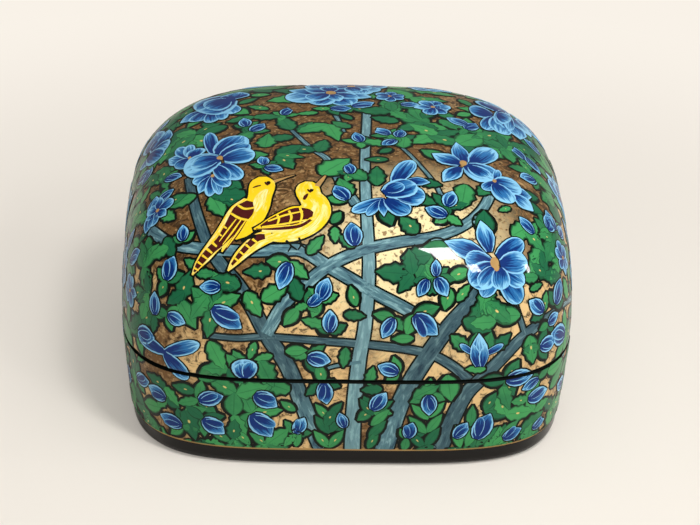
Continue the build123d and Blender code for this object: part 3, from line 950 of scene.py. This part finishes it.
motifs = {}  # (kind, width of the line): mesh
piles = {}  # name of the pile: {height of the layer: [motifs]}
guarded = []  # (place, radius) that leaves keep off
bark = []  # (place, radius) along the trunks and branches
beaks = []  # places along the birds' beaks
sprays = []  # (middle, direction, length) of leaves that show from under petals
covered = []  # (middle, radius) of the leaves laid so far
laid = []  # (middle, layer) of the leaves laid so far


def set_tone(mesh, tone):
    attribute = mesh.attributes.get("tone") or mesh.attributes.new("tone", "FLOAT", "FACE")
    attribute.data.foreach_set("value", [tone] * len(mesh.polygons))


def grid(name, columns, rows):
    """A flat grid of unit size round the origin."""
    bpy.ops.mesh.primitive_grid_add(
        x_subdivisions=columns, y_subdivisions=rows, size=1, calc_uvs=True
    )
    bpy.context.object.name = name
    return bpy.context.object


def motif(kind, line=0.0):
    """The flat motif, one unit long with its root at the origin and widened by its line."""
    key = (kind, round(line, 3))
    if key not in motifs:
        outline, columns = OUTLINES[kind], COLUMNS.get(kind, 2)
        rows = len(outline) - 1
        piece = grid(f"{kind}_motif", columns, rows)
        mesh = piece.data
        for vertex in mesh.vertices:
            along, half = outline[round((vertex.co.y + 0.5) * rows)]
            vertex.co.x *= 2 * (half + line)
            vertex.co.y = along + line * (2 * along - 1)
        set_tone(mesh, 0.0)
        motifs[key] = mesh
        bpy.data.objects.remove(piece)
    return motifs[key]


def lay(pile, height, piece):
    """Adds a motif to a pile, on the layer of its height."""
    piles.setdefault(pile, {}).setdefault(round(height / MM, 4), []).append(piece)


def stamp(pile, height, kind, place, normal, direction, length, width, finish, tone=0.0, line=0.0):
    """Lays a copy of a motif with its root at a place, as long and wide as said."""
    mesh = motif(kind, line / length if line else 0.0).copy()
    widest = 2 * max(half for _, half in OUTLINES[kind])
    direction = (direction - normal * direction.dot(normal)).normalized()
    across = direction.cross(normal)
    axes = across * (width / widest), direction * length, normal * length
    matrix = Matrix(axes).transposed().to_4x4()
    matrix.translation = place
    mesh.transform(matrix)
    set_tone(mesh, tone)
    mesh.materials.append(material(finish))
    lay(pile, height, show(pile, mesh))


def inked(
    pile, ink_height, height, kind, place, normal, direction, length, width, finish, tone, line
):
    """A motif and the wider one under it that shows as its outline."""
    step = max(round(line / length, 2), LEAST_LINE) * length
    stamp(
        pile, ink_height, kind, place, normal, direction, length, width + LINE_SHARE * line, "ink",
        tone, line=step,
    )
    stamp(pile, height, kind, place, normal, direction, length, width, finish, tone)


def dab(pile, height, x, y, below, length, width, finish):
    """A round touch of paint on the front that starts below a point of the view; sizes in mm."""
    place, normal, up = aimed(FRONT, x, y, ahead=4)
    way = up.normalized()
    root = place - way * below * MM
    stamp(pile, height, "spot", root, normal, way, length * MM, width * MM, finish)


def trail(points, step):
    """Points evenly spaced in the view, on a smooth line through the given ones."""
    knots = [np.array(p, float) for p in points]
    knots = [2 * knots[0] - knots[1]] + knots + [2 * knots[-1] - knots[-2]]
    fine = []
    for before, start, end, after in zip(knots, knots[1:], knots[2:], knots[3:]):
        for t in np.linspace(0, 1, CURVE_STEPS, endpoint=False):
            bend = (2 * before - 5 * start + 4 * end - after) * t**2
            twist = (3 * start - before - 3 * end + after) * t**3
            fine.append(0.5 * (2 * start + (end - before) * t + bend + twist))
    fine.append(knots[-2])
    fine = np.array(fine)
    run = np.concatenate(([0], np.cumsum(np.hypot(*(np.diff(fine[:, :2], axis=0).T)))))
    stops = np.linspace(0, run[-1], max(2, round(run[-1] / step) + 1))
    return [tuple(np.interp(stop, run, column) for column in fine.T) for stop in stops]


def brush(
    pile, height, side, points, finish, tone=0.0, widen=0.0, columns=4, step=TRUNK_STOPS, guard=0.0
):
    """A brush stroke along points of the view, each with half the stroke's width in mm."""
    stops = trail(points, step)
    seen = [sight(side, x, y) for x, y, _ in stops]
    places = [place for place, _ in seen]
    rows = len(stops) - 1
    piece = grid(pile, columns, rows)
    mesh = piece.data
    run = [0.0]
    for a, b in zip(places, places[1:]):
        run.append(run[-1] + (b - a).length)
    across = []
    for index, (place, normal) in enumerate(seen):
        along = places[min(index + 1, rows)] - places[max(index - 1, 0)]
        across.append(along.cross(normal).normalized())
    keys = [(round((v.co.y + 0.5) * rows), 2 * v.co.x) for v in mesh.vertices]
    for vertex, (row, share) in zip(mesh.vertices, keys):
        half = max(stops[row][2] * MM + widen, FINEST_HALF)
        vertex.co = places[row] + across[row] * half * share
        if widen and row in (0, rows):
            end = (places[row] - places[1 if row == 0 else rows - 1]).normalized()
            vertex.co += end * widen
    for loop in mesh.loops:
        row, share = keys[loop.vertex_index]
        mesh.uv_layers.active.data[loop.index].uv = (0.5 + share / 2, run[row] * UV_PER_LENGTH)
    set_tone(mesh, tone)
    mesh.materials.append(material(finish))
    lay(pile, height, piece)
    if guard:
        guarded.extend((place, stop[2] * MM + guard) for place, stop in zip(places, stops))
        if finish == "bark paint":
            bark.extend((place, stop[2] * MM + BARK_EDGE) for place, stop in zip(places, stops))
    return places


def apply_modifier(piece, kind, **settings):
    """Adds a modifier with its settings and applies it."""
    pick(piece)
    modifier = piece.modifiers.new(kind.title(), kind)
    for name, value in settings.items():
        setattr(modifier, name, value)
    bpy.ops.object.modifier_apply(modifier=modifier.name)


def span(piece):
    """The piece's lowest and highest levels."""
    levels = [vertex.co.z for vertex in piece.data.vertices]
    return min(levels), max(levels)


def keep_between(sheet, low, high):
    """Cuts off what is below the low or above the high level."""
    bottom, top = span(sheet)
    pick(sheet)
    bpy.ops.object.mode_set(mode="EDIT")
    for level, below in ((low, True), (high, False)):
        if bottom < level < top:
            bpy.ops.mesh.select_all(action="SELECT")
            bpy.ops.mesh.bisect(
                plane_co=(0, 0, level), plane_no=(0, 0, 1), threshold=1e-6,
                clear_inner=below, clear_outer=not below,
            )
    bpy.ops.object.mode_set(mode="OBJECT")


BODIES = {
    "lid": ("lid_shell", SEAM + HALF_LIP, math.inf),
    "base": ("base_shell", FOOT_TOP + GOLD_LINE, SEAM - HALF_LIP),
}


def finish_pile(pile):
    """Presses a pile's layers to the canvas, parts them at the seam and thickens them."""
    layers = {body: [] for body in BODIES}
    for height, pieces in sorted(piles.pop(pile).items()):
        sheet = join(pieces)
        raised = height * MM
        apply_modifier(
            sheet, "SHRINKWRAP", target=tools["canvas"], wrap_mode="ABOVE_SURFACE", offset=raised
        )
        bottom, top = span(sheet)
        for body, (_, low, high) in BODIES.items():
            if low < top and bottom < high:
                layer = show(pile, sheet.data.copy())
                keep_between(layer, low, high)
                apply_modifier(
                    layer, "SOLIDIFY", thickness=raised + KEYING, offset=-1, use_rim=True
                )
                layers[body].append(layer)
        bpy.data.objects.remove(sheet)
    for body, (shell, _, _) in BODIES.items():
        if layers[body]:
            part = join(layers[body])
            part.name = f"{pile}_{body}"
            part.data.shade_smooth()
            apply_modifier(
                part, "DATA_TRANSFER", object=NODES[shell], use_loop_data=True,
                data_types_loops={"CUSTOM_NORMAL"}, loop_mapping="POLYINTERP_NEAREST",
            )
            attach(part, body)


# ---- Operators: one for each group of pieces -----------------------------------------------

SIDES = ("front", "right", "back", "left")


class PAINTEDBOX_OT_lacquer(bpy.types.Operator):
    """Lays gold ground on the shells and black lacquer on the foot, the floor and the collar"""

    bl_idname = "painted_box.lacquer"
    bl_label = "Ground and Lacquer"

    def execute(self, context):
        make_canvas()
        for name, node in NODES.items():
            finish = "gold ground" if name in ("lid_shell", "base_shell") else "black lacquer"
            node.data.materials.clear()
            node.data.materials.append(material(finish))
        return {"FINISHED"}


class PAINTEDBOX_OT_trunks(bpy.types.Operator):
    """Draws the trunks and branches that climb from the foot on each side"""

    bl_idname = "painted_box.trunks"
    bl_label = "Trunks and Branches"

    def execute(self, context):
        line = sizes().trunk_line
        for side, routes in TRUNKS.items():
            pile = f"trunks_{SIDES[side]}"
            for order, (route, first, last) in enumerate(routes):
                stops = [
                    (x, y, (first + (last - first) * index / (len(route) - 1)) / 2)
                    for index, (x, y) in enumerate(route)
                ]
                columns = 4 if max(first, last) > THIN_TRUNK else 2
                height = TRUNK_PAINT + order % TRUNK_LAYERS * TRUNK_STEP
                tone = TRUNK_SHADES.get((side, order), PLAIN) + order / TRUNK_TONES
                brush(pile, TRUNK_INK, side, stops, "ink", widen=line, columns=columns)
                brush(
                    pile, height, side, stops, "bark paint", tone, columns=columns, guard=BARK_ROOM
                )
            finish_pile(pile)
        return {"FINISHED"}


LEAST_STRETCH, MOST_STRETCH = 0.8, 2.4  # bounds of what a petal is widened by


def seen_stretch(side, x, y, along_x, along_y):
    """How many times wider than it looks the surface is, across a direction in the view."""
    reach = 3  # points of the view to either side
    across = Vector((-along_y, along_x)).normalized() * reach
    one, _ = sight(side, x - across.x, y - across.y)
    other, _ = sight(side, x + across.x, y + across.y)
    return min(max((one - other).length / (2 * reach * POINT), LEAST_STRETCH), MOST_STRETCH)


def lay_petal(pile, order, root, normal, tip, width, kind, tone):
    reach = tip - root
    inked(
        pile, PETAL_INK, PETAL_PAINT + order * PETAL_STEP, kind, root, normal, reach, reach.length,
        width, "petal paint", tone, sizes().petal_line,
    )


def lay_bloom(pile, side, petals, chance):
    """A flower drawn petal by petal."""
    for order, (root_x, root_y, tip_x, tip_y, width, *kind) in enumerate(petals):
        root, normal = sight(side, root_x, root_y)
        tip, _ = sight(side, tip_x, tip_y)
        along = tip_x - root_x, tip_y - root_y
        width *= MM * seen_stretch(side, (root_x + tip_x) / 2, (root_y + tip_y) / 2, *along)
        outline = kind[0] if kind else ROUND
        lay_petal(pile, order, root, normal, tip, width, outline, chance.random())
        middle = (root + tip) / 2
        guarded.append((middle, PETAL_ROOM * (tip - root).length))
        sprays.append((middle, tip - root, SPRAY_START * (tip - root).length))


def lay_rosette(pile, side, x, y, width, turn, chance):
    """A flower with one or two rings of petals round a golden middle."""
    centre, normal, up = aimed(side, x, y, ahead=6)
    radius = width / 2 * MM
    order = 0
    for ring, (count, share) in enumerate(DOUBLE_RINGS if width > DOUBLE_WIDTH else SINGLE_RING):
        for index in range(count):
            swing = chance.uniform(-PETAL_SWING, PETAL_SWING)
            angle = math.radians(turn + 360 * (index + 0.5 * ring) / count + swing)
            way = turned(up.normalized(), normal, -angle)
            way = (way - normal * way.dot(normal)).normalized()
            reach = radius * share * chance.uniform(*PETAL_REACHES)
            kind = chance.choice((ROUND, ROUND, POINTED))
            root, tip = centre + way * PETAL_ROOT * radius, centre + way * reach
            broad = reach * PETAL_WIDTHS[kind]
            lay_petal(pile, order, root, normal, tip, broad, kind, chance.random())
            order += 1
            if ring == 0:
                sprays.append((centre + way * reach * RING_START, way, reach * RING_START))
    guarded.append((centre, radius * ROSETTE_ROOM))
    stamp(
        pile, PETAL_PAINT + order * PETAL_STEP, "spot", centre - way * HEART_BELOW * radius, normal,
        way, HEART_LENGTH * radius, HEART_WIDTH * radius, "stamen gold",
    )


class PAINTEDBOX_OT_flowers(bpy.types.Operator):
    """Paints the blue flowers petal by petal"""

    bl_idname = "painted_box.flowers"
    bl_label = "Flowers"

    def execute(self, context):
        chance = random.Random(FLOWER_SEED)
        for side, flowers in FLOWERS.items():
            pile = f"flowers_{SIDES[side]}"
            if side == FRONT:
                for petals in BLOOMS:
                    lay_bloom(pile, side, petals, chance)
            for flower in flowers:
                lay_rosette(pile, side, *flower, chance)
            if side == FRONT:
                for x, y, long in STAMENS:
                    width = STAMEN_SLIMNESS * long
                    dab(pile, STAMEN_PAINT, x, y, long / 2, long, width, "stamen gold")
            finish_pile(pile)
        return {"FINISHED"}


def leaf_layer(place):
    """The layer that the fewest leaves near a place lie on."""
    near = [0] * LEAF_LAYERS
    for other, layer in laid:
        if (other - place).length < SAME_HEIGHT_ROOM:
            near[layer] += 1
    layer = near.index(min(near))
    laid.append((place.copy(), layer))
    return LEAF_PAINT + layer * LEAF_STEP


def lay_leaf(side, kind, place, normal, direction, length, width, tone):
    """Paints a leaf from its stalk on, unless it would cover a beak."""
    direction = (direction - normal * direction.dot(normal)).normalized()
    middle = place + direction * length / 2
    if any((middle - beak).length < BEAK_ROOM for beak in beaks):
        return
    covered.append((middle, LEAF_REACH * length))
    inked(
        f"leaves_{SIDES[side]}", LEAF_INK, leaf_layer(middle), kind, place, normal, direction,
        length, width, "leaf paint", tone, sizes().leaf_line,
    )


def on_bark(place):
    """Whether a place lies on a trunk or a branch."""
    return any((place - other).length < reach for other, reach in bark)


def side_of(place):
    """The side of the box that a place is nearest to."""
    angle = math.degrees(math.atan2(place.y, place.x)) + 135
    return (FRONT, RIGHT, BACK, LEFT)[int(angle % 360 // 90)]


class PAINTEDBOX_OT_birds(bpy.types.Operator):
    """Paints the pair of yellow birds on their branch"""

    bl_idname = "painted_box.birds"
    bl_label = "Birds"

    def execute(self, context):
        line = sizes().bird_line
        fine = {"columns": 2, "step": FINE_STOPS}
        for order, (name, bird) in enumerate(BIRDS.items()):
            pile = f"bird_{name}"
            base = order * BIRD_LIFT
            for level, (points, tone) in enumerate(zip(bird["yellow"], BODY_TONES)):
                height = BIRD_PAINT + base + level * BODY_STEP
                brush(pile, BIRD_INK + base, FRONT, points, "ink", widen=line, step=BODY_STOPS)
                brush(
                    pile, height, FRONT, points, "feather paint", tone,
                    columns=6, step=BODY_STOPS, guard=FEATHER_ROOM,
                )
            for level, (kind, finish, tone) in enumerate(FEATHERS, start=FEATHER_LEVEL):
                for points in bird[kind]:
                    height = BIRD_PAINT + level * BIRD_STEP + base
                    brush(pile, height, FRONT, points, finish, tone, **fine)
            height = BIRD_PAINT + FEATHER_LEVEL * BIRD_STEP + base
            for points in bird["beak"]:
                brush(pile, BIRD_INK + base, FRONT, points, "ink", widen=BEAK_LINE * line, **fine)
                beaks.extend(brush(pile, height, FRONT, points, "stamen gold", **fine))
            height = BIRD_PAINT + (FEATHER_LEVEL + len(FEATHERS)) * BIRD_STEP + base
            dab(pile, height, *bird["eye"], EYE_BELOW, EYE_WIDTH, EYE_WIDTH, "ink")
            finish_pile(pile)
        return {"FINISHED"}


class PAINTEDBOX_OT_buds(bpy.types.Operator):
    """Paints the buds, each on its stalk between two or three small leaves"""

    bl_idname = "painted_box.buds"
    bl_label = "Buds"

    def execute(self, context):
        chance = random.Random(BUD_SEED)
        line = sizes().petal_line
        for side, buds in BUDS.items():
            pile = f"buds_{SIDES[side]}"
            for x, y, length, turn in buds:
                length *= MM
                middle, normal, way = aimed(side, x, y, turn)
                way = way.normalized()
                root = middle - way * length / 2
                width = length * chance.uniform(*BUD_WIDTHS)
                inked(
                    pile, PETAL_INK, PETAL_PAINT, "bud", root, normal, way, length, width,
                    "petal paint", chance.uniform(*BUD_TONES), line,
                )
                leaning = turned(way, normal, chance.uniform(-INNER_TURN, INNER_TURN))
                inner = root + way * INNER_ROOT * length
                stamp(
                    pile, PETAL_PAINT + PETAL_STEP, ROUND, inner, normal, leaning,
                    INNER_LENGTH * length, INNER_WIDTH * width, "petal paint",
                    chance.uniform(*BUD_TONES),
                )
                guarded.append((middle, BUD_ROOM * length))
                for aside in BUD_LEAVES:
                    swing = chance.uniform(-BUD_LEAF_SWING, BUD_LEAF_SWING)
                    spread = turned(way, normal, math.radians(aside + swing))
                    if on_bark(root + spread * BUD_LEAF_REACH * length):
                        continue
                    kind = chance.choice(SMALL_LEAF_SHAPES)
                    long = length * chance.uniform(*BUD_LEAF_LENGTHS)
                    stalk, broad = root - way * STALK_BELOW * MM, length * BUD_LEAF_WIDTH
                    lay_leaf(side, kind, stalk, normal, spread, long, broad, chance.random())
            finish_pile(pile)
        return {"FINISHED"}


def scattered(spacing, chance):
    """Places and normals over the canvas, no two nearer than the spacing."""
    mesh = tools["canvas"].data
    mesh.calc_loop_triangles()
    corners = np.array([[mesh.vertices[v].co for v in t.vertices] for t in mesh.loop_triangles])
    first, second, third = corners[:, 0], corners[:, 1], corners[:, 2]
    areas = np.linalg.norm(np.cross(second - first, third - first), axis=1) / 2
    kept = []
    cells = {}
    for index in chance.choices(range(len(areas)), weights=areas.tolist(), k=PICKS):
        a, b = chance.random(), chance.random()
        if a + b > 1:
            a, b = 1 - a, 1 - b
        start = first[index]
        place = start + a * (second[index] - start) + b * (third[index] - start)
        cell = tuple(int(v // spacing) for v in place)
        near = [q for i in (-1, 0, 1) for j in (-1, 0, 1) for k in (-1, 0, 1)
                for q in cells.get((cell[0] + i, cell[1] + j, cell[2] + k), ())]
        if all(np.linalg.norm(place - q) >= spacing for q in near):
            cells.setdefault(cell, []).append(place)
            kept.append(tools["tree"].find_nearest(Vector(place))[:2])
    return kept


def within(point, middles, reaches):
    """Whether a place is nearer to one of the middles than its reach."""
    return (np.linalg.norm(middles - np.array(point), axis=1) < reaches).any()


def columns_of(rooms):
    """Middles and radii of (middle, radius) pairs as two arrays."""
    middles = [tuple(middle) for middle, _ in rooms]
    return np.array(middles), np.array([radius for _, radius in rooms])


def grow_placed_leaves(chance):
    """The leaves on the front that have places of their own."""
    for leaves, kind, slimness in PLACED_LEAVES:
        for x, y, long, turn in leaves:
            place, normal, way = aimed(FRONT, x, y, turn)
            width = slimness * long * MM
            lay_leaf(FRONT, kind, place, normal, way, long * MM, width, chance.random())


def grow_sprays(chance):
    """Leaves that show from under the petals."""
    for middle, reach, long in sprays:
        if chance.random() < SPRAY_SHARE:
            place, normal, _, _ = tools["tree"].find_nearest(middle)
            way = turned(reach, normal, chance.uniform(-SPRAY_TURN, SPRAY_TURN))
            long = max(long, SHORTEST_SPRAY) + SPRAY_REACH
            if on_bark(place + way.normalized() * 0.5 * long):
                continue
            kind, width = chance.choice(LEAF_SHAPES), SPRAY_WIDTH * long
            lay_leaf(side_of(place), kind, place, normal, way, long, width, chance.random())


def grow_twigs(length, spots, radii, chance):
    """Sprays of three or four leaves from common roots, clear of the other motifs."""
    for place, normal in scattered(sizes().twig_spacing, chance):
        crown = normal.z > CROWN_SLOPE
        if crown and chance.random() < CROWN_BARE_SHARE:
            continue
        heading = chance.uniform(0, 2 * math.pi)
        start = normal.orthogonal().normalized()
        for aside in TWIG_LEAVES[: chance.choice((3, 3, 4, 4))]:
            swing = chance.uniform(-TWIG_SWING, TWIG_SWING)
            way = turned(start, normal, heading + math.radians(aside + swing))
            long = length * chance.uniform(*TWIG_LENGTHS) * (CROWN_LEAF if crown else 1.0)
            if any(within(place + way * long * share, spots, radii) for share in TESTED_SHARES):
                continue
            kind = chance.choice(LEAF_SHAPES)
            width = long * chance.uniform(*TWIG_WIDTHS)
            lay_leaf(side_of(place), kind, place, normal, way, long, width, chance.random())


def grow_fillers(length, spots, radii, chance):
    """Small leaves where the gold would show too widely."""
    centres, reaches = columns_of(covered)
    for place, normal in scattered(FILLER_SPACING, chance):
        margin = CROWN_MARGIN if normal.z > CROWN_SLOPE else MARGIN
        if within(place, centres, reaches + margin) or within(place, spots, radii + 0.5 * margin):
            continue
        long = length * chance.uniform(*FILLER_LENGTHS)
        way = turned(normal.orthogonal().normalized(), normal, chance.uniform(0, 2 * math.pi))
        kind = chance.choice(SMALL_LEAF_SHAPES)
        width = long * chance.uniform(*FILLER_WIDTHS)
        root = place - way * long / 2
        lay_leaf(side_of(place), kind, root, normal, way, long, width, chance.random())
        centres = np.vstack((centres, tuple(place)))
        reaches = np.append(reaches, LEAF_REACH * long)


class PAINTEDBOX_OT_leaves(bpy.types.Operator):
    """Fills the gold between the other motifs with sprays of leaves"""

    bl_idname = "painted_box.leaves"
    bl_label = "Leaves"

    def execute(self, context):
        chance = random.Random(LEAF_SEED)
        length = sizes().leaf_length
        spots, radii = columns_of(guarded)
        grow_placed_leaves(chance)
        grow_sprays(chance)
        grow_twigs(length, spots, radii, chance)
        grow_fillers(length, spots, radii, chance)
        for name in SIDES:
            finish_pile(f"leaves_{name}")
        return {"FINISHED"}


class PAINTEDBOX_OT_stage(bpy.types.Operator):
    """Sets out the floor, the soft lamps, the bright cards and the camera"""

    bl_idname = "painted_box.stage"
    bl_label = "Stage"

    def execute(self, context):
        scene = context.scene
        camera = bpy.data.cameras.new("camera")
        camera.lens, camera.sensor_width = LENS, SENSOR
        camera.clip_start = 0.01
        stand = bpy.data.objects.new("camera", camera)
        stand.matrix_world = viewer(FRONT)
        scene.collection.objects.link(stand)
        scene.camera = stand
        scene.view_settings.view_transform = "Standard"
        lay_floor()
        light_room(scene)
        hang_lamps(scene)
        return {"FINISHED"}


BACKDROP, FLOOR_COLOUR = paint(249, 242, 232), paint(230, 223, 213)
FLOOR_RADIUS, FLOOR_CORNERS, FLOOR_ROUGHNESS = 3.0, 96, 0.9
FADE_REACH, FADE_START = (110 * MM, 270 * MM), 0.28  # how the floor fades into the backdrop
ROOM_COLOUR, ROOM_STRENGTH = (1.0, 0.98, 0.95), 0.22

# Soft lamps that light the paint: place, power and width.
LAMP_AIM = Vector((0, 0, 30 * MM))
SOFT_LAMPS = (
    ("sky", (0.05, -0.15, 1.3), 6.7, 1.6), ("key", (0.55, -0.55, 0.95), 3.0, 0.8),
    ("fill", (-0.3, -1.2, 0.75), 1.9, 0.9),
)
# Bright cards: the point of the front that mirrors each, its width, height and power.
CARDS = (
    ("large", 448, 254, 0.13, 0.19, 3.1), ("small", 473, 269, 0.09, 0.12, 0.95),
    ("right", 528, 268, 0.08, 0.10, 0.65),
)
CARD_DISTANCE = 0.8
GLINT = 2.4  # how much stronger a card is in the varnish than on the paint


def lay_floor():
    bpy.ops.object.select_all(action="DESELECT")
    bpy.ops.mesh.primitive_circle_add(
        vertices=FLOOR_CORNERS, radius=FLOOR_RADIUS, fill_type="NGON", location=(0, 0, 0)
    )
    floor = bpy.context.object
    floor.name = "floor"
    surface = bpy.data.materials.new("pale paper")
    surface.use_nodes = True
    tree = surface.node_tree
    shader = tree.nodes["Principled BSDF"]
    shader.inputs["Base Color"].default_value = (*FLOOR_COLOUR, 1)
    shader.inputs["Roughness"].default_value = FLOOR_ROUGHNESS
    shader.inputs["Specular IOR Level"].default_value = 0.0
    away = vector_maths(tree, "LENGTH", coordinates(tree)["Object"])
    far = maths(tree, "MULTIPLY_ADD", ramp(tree, away, *FADE_REACH), 1 - FADE_START, FADE_START)
    glow = put(tree, "ShaderNodeEmission", {"Color": BACKDROP, "Strength": 1.0}).outputs[0]
    seen = put(tree, "ShaderNodeLightPath").outputs["Is Camera Ray"]
    fade = maths(tree, "MULTIPLY", far, seen)
    mix = put(tree, "ShaderNodeMixShader", {0: fade, 1: shader.outputs[0], 2: glow})
    link(tree, mix.outputs[0], tree.nodes["Material Output"].inputs["Surface"])
    floor.data.materials.append(surface)


def light_room(scene):
    """The plain backdrop that the camera sees and the weak light that comes from all round."""
    world = bpy.data.worlds.new("studio")
    scene.world = world
    world.use_nodes = True
    tree = world.node_tree
    backdrop = put(tree, "ShaderNodeBackground", {"Color": BACKDROP, "Strength": 1.0}).outputs[0]
    room = tree.nodes["Background"]
    room.inputs["Color"].default_value = (*ROOM_COLOUR, 1)
    room.inputs["Strength"].default_value = ROOM_STRENGTH
    paths = put(tree, "ShaderNodeLightPath").outputs
    shown = maths(tree, "MAXIMUM", paths["Is Camera Ray"], paths["Is Transmission Ray"])
    mix = put(tree, "ShaderNodeMixShader", {0: shown, 1: room.outputs[0], 2: backdrop})
    link(tree, mix.outputs[0], tree.nodes["World Output"].inputs["Surface"])


def lamp(scene, name, place, aim, power, width, height, seen_in_varnish):
    """An area lamp that either lights the paint or only shows as a glint in the varnish."""
    light = bpy.data.lights.new(name, "AREA")
    light.shape, light.size, light.size_y, light.energy = "RECTANGLE", width, height, power
    stand = bpy.data.objects.new(name, light)
    stand.location = place
    stand.rotation_euler = (aim - place).to_track_quat("-Z", "Y").to_euler()
    stand.visible_glossy = seen_in_varnish
    stand.visible_diffuse = not seen_in_varnish
    scene.collection.objects.link(stand)


def hang_lamps(scene):
    for name, place, power, width in SOFT_LAMPS:
        lamp(scene, name, Vector(place), LAMP_AIM, power, width, width, False)
    eye = viewer(FRONT).translation
    for name, x, y, width, height, power in CARDS:
        place, normal = sight(FRONT, x, y)
        seen = (place - eye).normalized()
        hung = place + (seen - 2 * seen.dot(normal) * normal) * CARD_DISTANCE
        lamp(scene, f"card_{name}", hung, place, GLINT * power, width, height, True)
        lamp(scene, f"soft_{name}", hung, place, power, width, height, False)


class PAINTEDBOX_PT_panel(bpy.types.Panel):
    """Lists the steps of the painting with their sizes and colours"""

    bl_idname = "PAINTEDBOX_PT_panel"
    bl_label = "Painted Papier-Mache Box"
    bl_space_type = "VIEW_3D"
    bl_region_type = "UI"
    bl_category = "Painted Box"

    def draw(self, context):
        for group in (context.scene.painted_box_sizes, context.scene.painted_box_colours):
            for name in group.__annotations__:
                self.layout.prop(group, name)
        for step in STEPS:
            self.layout.operator(step.bl_idname)


STEPS = (
    PAINTEDBOX_OT_lacquer, PAINTEDBOX_OT_trunks, PAINTEDBOX_OT_flowers, PAINTEDBOX_OT_birds,
    PAINTEDBOX_OT_buds, PAINTEDBOX_OT_leaves, PAINTEDBOX_OT_stage,
)
CLASSES = (PaintSizes, PaintColours, *STEPS, PAINTEDBOX_PT_panel)


def register():
    for item in CLASSES:
        bpy.utils.register_class(item)
    bpy.types.Scene.painted_box_sizes = bpy.props.PointerProperty(type=PaintSizes)
    bpy.types.Scene.painted_box_colours = bpy.props.PointerProperty(type=PaintColours)


def unregister():
    del bpy.types.Scene.painted_box_sizes
    del bpy.types.Scene.painted_box_colours
    for item in reversed(CLASSES):
        bpy.utils.unregister_class(item)


def main():
    register()
    for step in STEPS:
        group, action = step.bl_idname.split(".")
        getattr(getattr(bpy.ops, group), action)()
    bpy.data.objects.remove(tools["canvas"])


if __name__ == "__main__":
    main()
